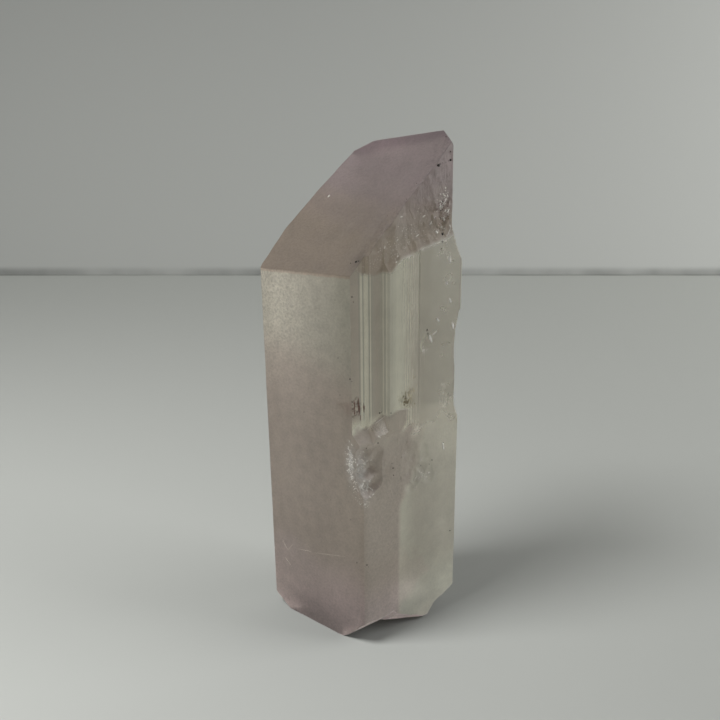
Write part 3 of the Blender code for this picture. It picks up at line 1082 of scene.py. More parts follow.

        # How clear, and how strong the grain and its painted glitter are: strongest in the upper left
        # sheen of the front
        low = smooth(11.0, 3.5, z)
        frost = self.frosted(u, z, front)
        etched = np.maximum(etched, 0.9 * low)
        on_side = 0.93 - 0.10 * lower - 0.10 * matt - 0.10 * right - 0.13 * shoulder - 0.1 * hollow
        clear = np.where(side, on_side - 0.12 * low, np.where(front, 0.82 + 0.06 * clear_front, 0.9))
        clear = clear - 0.36 * low - 0.22 * frost
        sparkle = np.where(front, 0.34 + 0.50 * sheen, np.where(side, 0.12 + 0.24 * matt, 0.3))
        return {
            "etched": np.clip(etched, 0.0, 1.0), "ribbed": ribbed, "broken": broken,
            "clear": clear, "sparkle": sparkle, **self.tint_of(z, facts),
        }

    def on_ledge(self, u: Array, z: Array) -> Array:
        """1 on the sloping facet of the ledge, and 0 off it."""
        foot = np.interp(u, self.ledge_u, self.ledge_foot)
        crest = np.interp(u, self.ledge_u, self.ledge_top)
        return smooth(-0.9, 0.3, z - foot) * smooth(0.0, 0.2, crest - z) * smooth(7.2, 6.4, u)

    def on_shoulder(self, u: Array, z: Array) -> Array:
        """1 on the broken shoulder of the side face, and 0 off it."""
        places, _, floors = np.array(self.shoulder).T
        return smooth(-0.2, 0.4, z - np.interp(u, places, floors)) * smooth(0.1, 1.0, u)

    @staticmethod
    def frosted(u: Array, z: Array, front: Array) -> Array:
        """1 where the hollow's left border is bruised white, on the front and the side face."""
        patchy = 0.6 + 0.5 * ripple(np.stack([u, z], axis=-1), 0.9, 16)
        on_front = bell(u, 1.9, 0.7) * bell(z, 26.2, 2.3)
        on_side = bell(u, 0.3, 0.9) * bell(z, 25.0, 2.6)
        return np.clip(np.where(front, on_front, on_side) * patchy, 0.0, 1.0)

    @staticmethod
    def pinkish(u: Array, z: Array) -> Array:
        """1 on the pink matt part of the side face, below the ledge and next to the front edge."""
        fleck = ripple(np.stack([u, z], axis=-1), 2.2, 13)
        share = smooth(18.5, 24.0, z)
        border = (u - 5.7 - 2.4 * share + 0.5 * share * fleck) / (0.5 + 1.1 * share)
        wedge = 0.4 * smooth(1.2, -1.2, u - 10.9 + 1.1 * np.abs(z - 8.5) + fleck)
        return smooth(31.0, 28.5, z + fleck) * np.maximum(smooth(1.0, -1.0, border), wedge)

    @staticmethod
    def sheen(d: Array, z: Array) -> Array:
        """1 in the upper left of the front face, where the etched grain glitters most. There the tint
        is painted lighter as a painted sheen, and the grain's painted glitter is strongest.
        """
        waver = ripple(np.stack([d, z], axis=-1), 9.0, 12)
        return bell(d, 14.5, 6.5) * smooth(31.0, 44.0, z + 1.2 * waver)

    def tint_of(self, z: Array, facts: dict[str, Array]) -> dict[str, Array]:
        """The wall's tint: rose, violet and grey green, each over its own places.

        Painted light and shade are mixed into it, partly over the faces' own tone. Each cleaved stripe
        of the side face has a painted brightness of its own. The front is drawn lighter in its upper
        left sheen, near its edge and towards its foot, and the side darker in its pink part and below
        the ledge.

        Args:
            z: each point's height.
            facts: each point's part, and its place along that part's face.

        Returns:
            The tint's red, green and blue at each point.
        """
        part, u = facts["part"], facts["u"]
        front = (part == Part.FRONT.value).astype(float)
        side = (part <= Part.SIDE.value).astype(float)
        waver = ripple(np.stack([u, z], axis=-1), 9.0, 12)
        fleck = ripple(np.stack([u, z], axis=-1), 2.2, 13)
        pinkish = np.maximum(self.pinkish(u, z), self.on_ledge(u, z))
        strip = smooth(31.0, 32.5, z) * np.maximum(0.8 * smooth(1.3, 0.5, u), 0.7 * bell(u, 2.9, 0.8))
        upper = smooth(33.0, 44.0, z + 1.2 * waver)
        greenish = (1.0 - pinkish) * (1.0 - strip)
        to_green = np.where(front > 0, upper, np.where(side > 0, greenish, 0.8))
        to_violet = front * 0.9 * smooth(14.0, 8.0, z + 1.5 * waver)
        to_violet = to_violet + side * 0.4 * smooth(10.0, 5.0, z) * pinkish

        # Painted light and shade, partly over the faces' own tone: how light the front and the side are
        # drawn. The front is lighter in its upper left sheen, near its edge and towards its foot, and
        # the side darker in its pink part and below the ledge
        on_front = 0.29 + 0.16 * self.sheen(u, z) + 0.06 * smooth(7.0, 3.0, u) + 0.03 * fleck
        # Painted light: the front is drawn lighter towards its foot
        on_front = on_front + 0.05 * smooth(28.0, 20.0, z) + 0.23 * smooth(14.0, 4.0, z)
        on_side = 1.0 - (0.52 - 0.18 * smooth(12.0, 3.0, z)) * pinkish
        painted_side_shade = 0.30 - 0.14 * smooth(22.0, 26.0, z) - 0.10 * smooth(11.0, 13.0, u)
        on_side = on_side * (1.0 - painted_side_shade * (1.0 - pinkish) * smooth(31.0, 28.0, z))
        painted_brightness = np.where(front > 0, on_front, np.where(side > 0, on_side, 1.0))
        # Painted light and shade of the cleaved stripes, above the ledge
        stripes = np.interp(u, self.stripe_u, self.stripe_painted_light) - 1.0
        painted_brightness = painted_brightness * (1.0 + side * smooth(31.0, 32.5, z) * stripes)
        to_violet = to_violet * (1.0 - to_green)
        tints = {
            name: painted_brightness * (rose + (green - rose) * to_green + (violet - rose) * to_violet)
            for name, rose, green, violet in zip(
                "rgb", linear(self.rose), linear(self.grey_green), linear(self.violet),
            )
        }

        # The shoulder has the slope's tint, and a thin line under the slope's lower edge is rusty
        shoulder = 0.9 * side * self.on_shoulder(u, z)
        rusty = 0.45 * front * smooth(0.30, 0.12, z[-1] - z)
        warm = np.maximum(front, strip * side)
        frost = 0.75 * self.frosted(u, z, front > 0) * (front + side)
        slope = self.slope_tint(z, u)
        casts, rusts = linear(self.front_cast), linear(self.rim_red)
        made = {}
        for (name, value), cast, rust in zip(tints.items(), casts, rusts):
            value = value * (1.0 + (cast - 1.0) * warm)
            value = value * (1.0 - shoulder) + 1.2 * slope[name] * shoulder
            value = value * (1.0 - rusty) * (1.0 - frost) + rust * rusty + frost * 0.82
            made[f"tint_{name}"] = np.clip(value, 0.0, 1.0)
        return made

    def slope_tint(self, z: Array, across: Array) -> dict[str, Array]:
        """The end face's tint: brown below, violet above, a little uneven.

        Args:
            z: each point's height.
            across: each point's place along the side face.

        Returns:
            The tint's red, green and blue at each point.
        """
        spot = np.stack([across, z], axis=-1)
        share = smooth(53.0, 60.0, z + 0.9 * ripple(spot, 4.0, 21))
        shade = 0.96 + 0.08 * ripple(spot, 2.7, 23)
        return {
            name: shade * (brown + (violet - brown) * share)
            for name, brown, violet in zip(
                "rgb", linear(self.slope_brown), linear(self.slope_violet),
            )
        }

    def cap_masks(self, points: Array, z: Array) -> dict[str, Array]:
        """The masks of the end face: etched, brown below and violet at the ridge.

        It is broken along its right border, and a dark blot lies near the front corner. Near the
        ridge's left end the tint is painted lighter: painted light against a darker band there.

        Args:
            points: the plan points.
            z: each point's height.

        Returns:
            A value from 0 to 1 at each point for each mask.
        """
        plan = points[..., :2]
        u, w = plan @ self.along, plan @ self.inward
        spot = np.stack([u, w], axis=-1)
        broken = smooth(2.6, 1.0, w + 0.7 * ripple(spot, 1.9, 22)) * smooth(0.4, 1.2, u)
        smudge_and_ridge_light = 0.5 * bell(np.hypot(u - 1.0, w - 2.0), 0.0, 0.8)
        # Painted light: the tint is drawn lighter near the ridge's left end
        smudge_and_ridge_light = smudge_and_ridge_light - 0.5 * smooth(60.6, 62.2, z) * smooth(9.0, 3.0, plan[..., 0])
        tint = {
            f"tint_{name}": np.clip(value * (1.0 - smudge_and_ridge_light), 0.0, 1.0)
            for name, value in self.slope_tint(z, u).items()
        }
        return {
            "etched": np.full(z.shape, 1.0), "ribbed": np.zeros(z.shape), "broken": 0.32 * broken,
            "clear": np.full(z.shape, 0.82), "sparkle": 0.30 + 0.3 * broken, **tint,
        }

    def inward_line(self, rim: Array, centre: Array, steps: Array) -> Array:
        """Plan points on the lines from the rim to the centre, one row for each step."""
        return rim[None] + (centre - rim)[None] * steps[:, :, None]

    def crease_of(self, rim: Array, centre: Array, is_inner: Callable[[Array], Array]) -> Array:
        """How far along each line from the rim to the centre the innermost face begins.

        Args:
            rim: the plan points that the lines start at.
            centre: the plan point that they end at.
            is_inner: tells for plan points whether the innermost face is there.

        Returns:
            A share from 0 to 1 for each line.
        """
        steps = np.linspace(0.0, 0.95, 500)
        points = self.inward_line(rim, centre, np.repeat(steps[:, None], len(rim), axis=1))
        outside = ~is_inner(points)
        last = len(steps) - 1 - np.argmax(outside[::-1], axis=0)
        return np.where(outside.any(axis=0), steps[last], 0.0)

    def close_top(self, surface: Surface, rim: Array, rim_wear: Array) -> None:
        """Adds the end face: the worn rim, the facets behind the ridge, and rings to a point.

        Args:
            surface: gets the rings.
            rim: the plan points of the wall's top row.
            rim_wear: how far the rim is worn down at each of them.
        """
        centre = np.array(self.top_centre)
        length = np.linalg.norm(centre - rim, axis=1)

        def on_slope(points: Array) -> Array:
            """Whether the slope is the lowest of the end face's planes at these points."""
            return self.slope.height(points) < self.top_height(points) + 1e-6

        crease = self.crease_of(rim, centre, on_slope)
        start = np.where(crease > 0, crease, rim_wear / length)
        strips = (0.35, 0.7, 1.0)
        rings = 1.0 - (1.0 - np.linspace(0, 1, 15)[1:-1]) ** 1.15
        shares = [start * part for part in strips]
        shares += [start + (1.0 - start) * part for part in rings]
        for share in shares:
            points = rim + (centre - rim) * share[:, None]
            z = self.top_height(points)
            inner = smooth(0.0, 0.25, share * length / 6.0)
            z = z + 0.03 * inner * ripple(points, 3.1, 19) * smooth(1.0, 0.7, share)
            surface.add(self.upright(points, z), **self.cap_masks(points, z))
        points = np.repeat(centre[None], len(rim), axis=0)
        z = self.top_height(points)
        surface.add(self.upright(points, z), **self.cap_masks(points, z))

    def close_foot(self, surface: Surface, rim: Array) -> None:
        """Adds the foot: its breaks, then its flat, as rings to a point.

        Args:
            surface: gets the rings.
            rim: the plan points of the wall's lowest row.
        """
        centre = np.array(self.foot_centre)

        def on_flat(points: Array) -> Array:
            """Whether the foot's flat is at these points."""
            return self.foot_height(points) < 1e-6

        crease = np.maximum(self.crease_of(rim, centre, on_flat), 0.03)
        breaks = (0.03, 0.1, 0.2, 0.3, 0.42, 0.54, 0.66, 0.78, 0.9, 1.0)
        shares = [crease * part for part in breaks]
        shares += [crease + (1.0 - crease) * part for part in (0.2, 0.45, 0.7, 0.9)]
        for share in shares:
            points = rim + (centre - rim) * share[:, None]
            z = self.foot_height(points)
            surface.add(self.upright(points, z), **self.foot_masks(z))
        z = np.zeros(len(rim))
        middle = np.repeat(self.upright(centre[None], z[:1]), len(rim), axis=0)
        surface.add(middle, **self.foot_masks(z))

    def foot_masks(self, z: Array) -> dict[str, Array]:
        """The masks of the foot: broken, so only lightly etched."""
        red, green, blue, _ = linear(self.violet)
        values = {
            "etched": 0.75, "ribbed": 0.0, "broken": 0.4, "clear": 0.72, "sparkle": 0.4,
            "tint_r": red, "tint_g": green, "tint_b": blue,
        }
        return {name: np.full(z.shape, value) for name, value in values.items()}

    def join(self, surface: Surface, wall_and_top: int, material: Material) -> Object:
        """Joins the rings into one closed mesh: wall and end face upwards, foot downwards.

        Each pair of neighbouring rings is joined by a band of triangles. The last ring of the
        end face and of the foot is a single point, which its band meets in one corner.

        Args:
            surface: the rings, from the wall's foot up to the end face, then the foot's.
            wall_and_top: how many of the rings belong to the wall and the end face.
            material: the stone's material.

        Returns:
            The crystal.
        """
        columns = sum(self.counts)
        points = np.concatenate(surface.rows)
        values = {name: np.concatenate(rows) for name, rows in surface.masks.items()}
        total = len(surface.rows)
        here = np.arange(columns)
        after = (here + 1) % columns

        def band(lower: int, upper: int) -> Array:
            """Triangles between two rings, split along alternating diagonals."""
            a, b = lower * columns + here, lower * columns + after
            c, d = upper * columns + after, upper * columns + here
            even = (here % 2 == 0)[:, None]
            first = np.where(even, np.stack([a, b, c], axis=1), np.stack([a, b, d], axis=1))
            second = np.where(even, np.stack([a, c, d], axis=1), np.stack([b, c, d], axis=1))
            return np.concatenate([first, second])

        faces = [band(row, row + 1) for row in range(wall_and_top - 2)]
        pole = (wall_and_top - 1) * columns
        last = (wall_and_top - 2) * columns
        faces.append(np.stack([last + here, last + after, np.full(columns, pole)], axis=1))
        faces.append(band(wall_and_top, 0))
        faces += [band(row + 1, row) for row in range(wall_and_top, total - 2)]
        pole_foot = (total - 1) * columns
        last = (total - 2) * columns
        faces.append(np.stack([last + after, last + here, np.full(columns, pole_foot)], axis=1))
        faces = np.concatenate(faces)
        used = np.zeros(len(points), bool)
        used[faces.ravel()] = True
        renumber = np.cumsum(used) - 1
        faces = renumber[faces]
        made = mesh_object("crystal_body", points[used], faces, material)
        for name in ("etched", "ribbed", "broken", "clear", "sparkle"):
            layer = made.data.attributes.new(name, "FLOAT", "POINT")
            layer.data.foreach_set("value", values[name][used].astype(np.float32))
        parts = [values["tint_r"], values["tint_g"], values["tint_b"], np.ones(len(points))]
        tint = np.stack(parts, axis=1)
        layer = made.data.attributes.new("tint", "FLOAT_COLOR", "POINT")
        layer.data.foreach_set("color", tint[used].astype(np.float32).ravel())
        made.data.shade_smooth()
        made.data.set_sharp_from_angle(angle=self.sharp_angle)
        return made


@dataclass(frozen=True)
class Cluster:
    """A cloud of grains round a place on the side face."""

    count: int
    middle: tuple[float, float, float]
    spread: tuple[float, float, float]
    radius: tuple[float, float]
    tall: float = 1.0


def lumps(name: str, centres: Array, axes: Array, seed: int, material: Material) -> Object:
    """Small uneven lumps as one mesh.

    Each is a sphere of 5 rings by 8 columns and two poles, stretched along its axes. Each of
    its points is up to a quarter nearer to its middle or farther from it.

    Args:
        name: the piece's name.
        centres: the lumps' middles in millimetres, one row for each.
        axes: each lump's three half axes, as the rows of a square.
        seed: picks the unevenness.
        material: what the lumps are made of.

    Returns:
        The piece.
    """
    polar = (np.arange(5)[:, None] + 1.0) * pi / 6 + np.zeros(8)
    turn = np.arange(8)[None, :] * pi / 4 + np.zeros((5, 1))
    level = np.sin(polar)
    ways = np.stack([level * np.cos(turn), level * np.sin(turn), np.cos(polar)], axis=-1)
    ways = np.concatenate([ways.reshape(-1, 3), [[0, 0, 1.0], [0, 0, -1.0]]])
    draw = np.random.default_rng(seed)
    uneven = 1.0 + draw.uniform(-0.25, 0.25, (len(centres), len(ways), 1))
    points = centres[:, None] + (ways @ axes) * uneven
    ring, column = np.meshgrid(np.arange(4), np.arange(8), indexing="ij")
    a, b = ring * 8 + column, ring * 8 + (column + 1) % 8
    upper = np.stack([a, a + 8, b], axis=-1).reshape(-1, 3)
    lower = np.stack([b, a + 8, b + 8], axis=-1).reshape(-1, 3)
    around = np.arange(8)
    top = np.stack([np.full(8, 40), around, (around + 1) % 8], axis=1)
    base = np.stack([np.full(8, 41), 32 + (around + 1) % 8, 32 + around], axis=1)
    faces = np.concatenate([upper, lower, top, base])
    faces = (faces[None] + np.arange(len(centres))[:, None, None] * len(ways)).reshape(-1, 3)
    made = mesh_object(name, points.reshape(-1, 3), faces, material)
    made.data.shade_smooth()
    return made


@dataclass
class Sealed:
    """What is sealed in the crystal and what sits on it: stain, healed cracks, dirt, and white grains,
    partly crushed stone from knocks and partly painted glints.
    """

    crystal: Crystal
    cover: float = 0.12
    front_cover: float = 0.15

    # Clusters of grains: how many, their middle as u, w and height, their spread, and their sizes
    stain: tuple[Cluster, ...] = (
        Cluster(30, (6.7, 0.35, 33.25), (0.16, 0.06, 0.20), (0.05, 0.13)),
        Cluster(14, (6.6, 0.35, 34.0), (0.20, 0.05, 0.35), (0.03, 0.07), 3.0),
        Cluster(5, (8.0, 0.35, 32.5), (0.12, 0.05, 0.12), (0.03, 0.07)),
        Cluster(4, (8.1, 0.35, 36.2), (0.10, 0.05, 0.18), (0.03, 0.06)),
    )
    halo: tuple[Cluster, ...] = (
        Cluster(110, (6.9, 0.45, 33.7), (0.70, 0.18, 0.75), (0.015, 0.045)),
        Cluster(24, (8.1, 0.45, 36.2), (0.30, 0.12, 0.45), (0.012, 0.035)),
        Cluster(40, (9.2, 0.45, 32.0), (0.9, 0.2, 1.6), (0.010, 0.030)),
    )
    rust: tuple[Cluster, ...] = (
        Cluster(7, (0.0, 1.75, 33.5), (0.05, 0.05, 0.45), (0.035, 0.065), 6.0),
        Cluster(10, (0.66, 1.75, 33.7), (0.06, 0.05, 0.55), (0.04, 0.08), 7.0),
        Cluster(6, (1.40, 1.75, 33.3), (0.05, 0.04, 0.35), (0.03, 0.06), 5.0),
        Cluster(16, (-0.35, 2.6, 33.7), (0.22, 0.1, 0.55), (0.02, 0.04), 2.0),
    )

    # Grains of dirt: plan point and size on the slope, else place along the face, height and size
    slope_dirt: tuple[tuple[float, float, float], ...] = (
        (9.9, 10.3, 0.10), (-0.59, 2.31, 0.16), (-0.3, 2.2, 0.1), (-1.2, 2.6, 0.08),
        (3.0, 5.4, 0.05), (5.2, 5.8, 0.06), (-3.1, 6.2, 0.05), (6.4, 6.9, 0.06),
    )
    front_dirt: tuple[tuple[float, float, float], ...] = (
        (1.87, 37.54, 0.15), (1.6, 37.3, 0.08), (1.39, 47.75, 0.13), (1.2, 47.2, 0.09),
        (3.65, 39.74, 0.09), (3.92, 46.84, 0.05), (3.46, 35.04, 0.07), (2.4, 40.9, 0.06),
        (1.62, 34.66, 0.09), (5.4, 20.0, 0.06), (7.0, 23.7, 0.05), (2.1, 18.4, 0.06),
        (1.2, 12.47, 0.12), (3.9, 19.0, 0.05), (9.4, 31.0, 0.05),
    )
    side_dirt: tuple[tuple[float, float, float], ...] = (
        (2.24, 29.08, 0.17), (1.17, 28.33, 0.10), (3.32, 32.36, 0.13), (3.6, 32.4, 0.08),
        (4.23, 32.49, 0.11), (4.56, 24.91, 0.15), (4.62, 23.9, 0.12), (4.4, 25.6, 0.08),
        (5.67, 24.96, 0.09), (10.91, 23.97, 0.10), (10.5, 23.5, 0.08), (9.26, 23.65, 0.09),
        (12.75, 25.9, 0.09), (14.3, 12.25, 0.11), (9.72, 41.89, 0.17), (9.85, 41.4, 0.12),
        (0.41, 12.47, 0.12), (0.6, 12.1, 0.07), (5.9, 26.0, 0.06), (2.0, 24.5, 0.09),
        (11.9, 52.4, 0.16), (12.1, 53.2, 0.2), (12.2, 55.9, 0.16), (12.35, 57.0, 0.12),
        (11.7, 51.6, 0.12), (11.8, 61.2, 0.26), (12.06, 61.31, 0.14), (12.46, 61.39, 0.07),
        (12.94, 61.44, 0.06), (13.42, 61.5, 0.07), (13.69, 61.56, 0.18), (13.65, 62.55, 0.11),
    )

    # White grains, partly crushed stone from knocks and partly painted glints on edges and breaks: both
    # ends as place along the face and height, and half the width
    side_bruise_and_glint_marks: tuple[tuple[float, ...], ...] = (
        (0.65, 26.30, 0.80, 26.36, 0.10), (0.89, 22.85, 1.13, 23.56, 0.08),
        (1.30, 23.06, 1.60, 22.65, 0.08), (0.67, 23.40, 1.41, 22.93, 0.05),
        (0.04, 21.28, 0.35, 21.31, 0.06), (0.10, 23.1, 0.5, 23.8, 0.05),
        (8.00, 21.81, 8.60, 22.35, 0.05), (8.91, 22.55, 9.39, 22.69, 0.06),
        (8.58, 21.94, 9.30, 22.19, 0.06), (10.35, 22.20, 10.75, 22.22, 0.08),
        (8.15, 20.71, 8.39, 21.06, 0.05), (9.13, 21.24, 10.28, 21.79, 0.05),
        (8.92, 24.47, 9.44, 24.67, 0.04), (2.28, 29.98, 2.62, 29.63, 0.07),
        (12.63, 25.84, 12.83, 24.94, 0.13), (13.23, 45.07, 13.39, 44.66, 0.12),
        (12.61, 47.33, 12.83, 47.04, 0.10), (13.78, 41.86, 13.93, 41.18, 0.14),
        (11.30, 42.94, 11.58, 42.60, 0.12), (10.20, 40.99, 10.45, 40.29, 0.17),
        (10.75, 41.12, 11.23, 41.39, 0.08), (8.31, 53.41, 8.77, 53.62, 0.06),
        (9.49, 55.53, 9.74, 55.68, 0.08), (10.38, 54.50, 10.74, 54.81, 0.08),
        (5.10, 51.06, 5.19, 51.11, 0.06), (5.44, 51.66, 5.52, 51.74, 0.06),
        (4.02, 52.66, 4.19, 52.97, 0.04), (5.64, 53.39, 5.88, 53.55, 0.04),
        (6.47, 55.94, 6.72, 55.97, 0.05), (12.38, 56.57, 12.89, 57.19, 0.10),
        (13.04, 57.75, 13.10, 57.51, 0.11), (12.00, 56.85, 12.07, 56.03, 0.07),
        (12.54, 54.90, 13.27, 53.97, 0.15), (13.24, 53.74, 12.71, 52.92, 0.06),
        (13.04, 50.35, 13.15, 49.59, 0.12), (11.27, 53.62, 11.40, 53.47, 0.12),
        # These four run along the ledge's crest: a painted highlight
        (1.14, 30.36, 2.46, 31.22, 0.025), (2.46, 31.22, 3.88, 31.90, 0.025),
        (3.88, 31.92, 5.24, 32.61, 0.03), (5.24, 32.61, 7.04, 32.29, 0.025),
        (-0.1, 50.45, 0.12, 50.60, 0.06),
    )
    front_bruise_and_glint_marks: tuple[tuple[float, ...], ...] = (
        (1.88, 24.59, 1.70, 24.63, 0.09), (2.30, 28.26, 2.22, 28.18, 0.07),
        (2.20, 26.30, 2.12, 25.75, 0.10), (0.60, 21.10, 0.35, 21.36, 0.05),
    )
    faint_side: tuple[tuple[float, ...], ...] = (
        (0.12, 14.36, 1.50, 14.15, 0.02), (1.70, 14.10, 2.81, 14.04, 0.03),
        (3.00, 14.10, 5.74, 13.86, 0.03), (5.26, 28.83, 5.42, 27.26, 0.04),
        (3.30, 26.6, 3.34, 25.2, 0.04), (4.1, 22.2, 4.5, 20.9, 0.04),
    )
    faint_front: tuple[tuple[float, ...], ...] = (
        (14.04, 10.47, 13.18, 9.41, 0.05), (13.18, 9.41, 12.20, 10.75, 0.03),
        (13.80, 8.04, 12.92, 7.30, 0.04), (12.0, 10.2, 9.0, 10.9, 0.02),
        (8.6, 10.9, 3.0, 12.6, 0.02),
    )

    # Specks of white grain, partly crushed stone and partly painted glints: how many, on which face,
    # middle and spread of their place and height, and sizes
    glint_and_bruise_flecks: tuple[tuple, ...] = (
        (150, Part.FRONT, (1.95, 26.5), (0.30, 1.15), (0.02, 0.075)),
        (70, Part.FRONT, (1.25, 23.4), (0.35, 0.90), (0.015, 0.05)),
        (90, Part.SIDE, (0.35, 26.0), (0.50, 0.90), (0.015, 0.06)),
        (70, Part.SIDE, (0.75, 23.2), (0.45, 0.60), (0.02, 0.07)),
        (40, Part.SIDE, (0.30, 21.6), (0.35, 0.50), (0.015, 0.04)),
        (60, Part.SIDE, (9.3, 22.2), (0.80, 0.45), (0.015, 0.05)),
        (50, Part.SIDE, (12.7, 54.6), (0.50, 1.80), (0.02, 0.06)),
        (60, Part.SIDE, (2.6, 51.3), (0.90, 0.50), (0.012, 0.030)),
        (90, Part.SIDE, (5.0, 52.4), (0.90, 0.70), (0.012, 0.032)),
        (90, Part.SIDE, (7.6, 54.0), (1.00, 1.00), (0.012, 0.034)),
        (90, Part.SIDE, (10.2, 55.4), (1.00, 1.40), (0.012, 0.034)),
        (60, Part.SIDE, (12.4, 56.4), (0.40, 1.10), (0.03, 0.09)),
    )
    slope_bruises: tuple[tuple[float, ...], ...] = ((-3.89, 13.18, -3.79, 13.22, 0.12),)

    def pressed(self, spots: Array, face: Part) -> Array:
        """Puts marks onto a face.

        Args:
            spots: each mark's place along the face and its height, or, for the end face, its
                plan point.
            face: FRONT, SIDE, or BACK for the end face.

        Returns:
            The points in the row's frame.
        """
        across, z = spots[:, 0], spots[:, 1]
        if face is Part.BACK:
            return self.crystal.upright(spots, self.crystal.top_height(spots))
        if face is Part.FRONT:
            return self.crystal.upright(across[:, None] * self.crystal.front_along, z)
        depth = self.crystal.side_depth(across, z)
        plan = across[:, None] * self.crystal.along + depth[:, None] * self.crystal.inward
        return self.crystal.upright(plan, z)

    def kept(self, spots: Array, face: Part) -> Array:
        """Tells which marks lie on a face, and not past its edges.

        Args:
            spots: each mark's place along the face and its height.
            face: FRONT, SIDE, or BACK for the end face, where every mark is kept.

        Returns:
            True or false for each mark.
        """
        crystal, across, z = self.crystal, spots[:, 0], spots[:, 1]
        edge = crystal.side_depth(np.full(len(spots), crystal.edge_probe), z)
        if face is Part.BACK:
            return np.ones(len(spots), bool)
        if face is Part.FRONT:
            return across > edge / crystal.edge_sine + 0.05
        depth = crystal.side_depth(across, z)
        plan = across[:, None] * crystal.along + depth[:, None] * crystal.inward
        under = z < crystal.top_height(plan) - 0.15
        short = plan[:, 0] < crystal.right_reach(plan, z) + 0.02
        return under & short & (across > -0.1 - edge * crystal.edge_lead)

    def streaks(
        self, name: str, marks_by_face: dict[Part, list], seed: int, finish: GrainFinish,
    ) -> Object:
        """Short streaks of crushed stone, flat and half sunk in the faces. The white ones are partly
        painted glints.

        Each is a lump whose long axis joins its two ends, which are pressed onto the face.

        Args:
            name: the piece's name.
            marks_by_face: for each face, rows of both ends and half the width.
            seed: picks the unevenness.
            finish: the streaks' finish.

        Returns:
            The piece.
        """
        centres, axes = [], []
        for face, rows in marks_by_face.items():
            marks = np.array(rows)
            marks = marks[self.kept(marks[:, 0:2], face) & self.kept(marks[:, 2:4], face)]
            first, last = self.pressed(marks[:, 0:2], face), self.pressed(marks[:, 2:4], face)
            long = (last - first) / 2
            length = np.linalg.norm(long, axis=1, keepdims=True)
            inward = self.crystal.inward if face is Part.SIDE else self.crystal.front_inward
            into = np.broadcast_to(np.array([*inward, 0.0]), long.shape)
            wide = np.cross(long / length, into)
            half = 1.2 * marks[:, 4:5]
            centres.append((first + last) / 2)
            thick = into * np.minimum(half, 0.06)
            axes.append(np.stack([long * (length + half) / length, wide * half, thick], axis=1))
        return lumps(name, np.concatenate(centres), np.concatenate(axes), seed, finish.material())

    def bruise_and_glint_grains(self, finish: GrainFinish) -> Object:
        """The white grains, partly crushed stone and partly painted glints: the measured streaks, and
        specks scattered round some places.

        A fleck's place and height are each the middle plus the spread times a normal number. Its
        length is one to four times its width, and it points any way.
        """
        marks = {
            Part.SIDE: [*self.side_bruise_and_glint_marks],
            Part.FRONT: [*self.front_bruise_and_glint_marks],
            Part.BACK: [*self.slope_bruises],
        }
        draw = np.random.default_rng(67)
        for count, face, middle, spread, size in self.glint_and_bruise_flecks:
            spot = np.array(middle) + draw.normal(size=(count, 2)) * np.array(spread)
            half = size[0] + (size[1] - size[0]) * draw.uniform(size=(count, 1)) ** 2
            turn = draw.uniform(0.0, pi, (count, 1))
            way = np.concatenate([np.cos(turn), np.sin(turn)], axis=1)
            reach = half * draw.uniform(0.3, 1.6, (count, 1)) * way
            marks[face] += [*np.concatenate([spot - reach, spot + reach, half], axis=1)]
        return self.streaks("bruise_and_glint_grains", marks, 66, finish)

    def front_limit(self, u: Array) -> Array:
        """The least depth from the side face at each u that still lies behind the front face."""
        inward = self.crystal.front_inward.dot(self.crystal.inward)
        return (self.front_cover - self.crystal.edge_sine * u) / inward

    def cloud(
        self, name: str, clusters: tuple[Cluster, ...], seed: int, finish: GrainFinish,
    ) -> Object:
        """The grains of some clusters: each at its middle plus a normal spread, under the face.

        Args:
            name: the piece's name.
            clusters: the clusters.
            seed: picks the spread, the sizes and the unevenness.
            finish: the grains' finish.

        Returns:
            The piece.
        """
        draw = np.random.default_rng(seed)
        centres, radii = [], []
        for cluster in clusters:
            away = draw.normal(size=(cluster.count, 3)) * np.array(cluster.spread)
            spot = np.array(cluster.middle) + away
            face = self.crystal.side_depth(spot[:, 0], spot[:, 2])
            least = np.maximum(face + self.cover, self.front_limit(spot[:, 0]))
            spot[:, 1] = np.maximum(spot[:, 1], least)
            plan = spot[:, :1] * self.crystal.along + spot[:, 1:2] * self.crystal.inward
            centres.append(self.crystal.upright(plan, spot[:, 2]))
            size = draw.uniform(*cluster.radius, (cluster.count, 1))
            radii.append(size * np.array([1.0, 1.0, cluster.tall]))
        axes = np.concatenate(radii)[:, :, None] * np.eye(3)
        return lumps(name, np.concatenate(centres), axes, seed, finish.material())

    def dirt(self) -> Object:
        """Grains of dirt, half sunk in the end face, the front face and the side face."""
        crystal = self.crystal
        tables = (self.slope_dirt, self.front_dirt, self.side_dirt)
        slope, front, side = (np.array(rows) for rows in tables)
        plan = slope[:, :2]
        centres = [crystal.upright(plan, crystal.top_height(plan))]
        centres += [self.pressed(front, Part.FRONT), self.pressed(side, Part.SIDE)]
        size = np.concatenate([slope[:, 2], front[:, 2], side[:, 2]])[:, None]
        draw = np.random.default_rng(61)
        axes = (0.7 * size * draw.uniform(0.6, 1.2, (len(size), 3)))[:, :, None] * np.eye(3)
        finish = GrainFinish("dark_dirt", "#2d2823")
        return lumps("dirt_grains", np.concatenate(centres), axes, 62, finish.material())

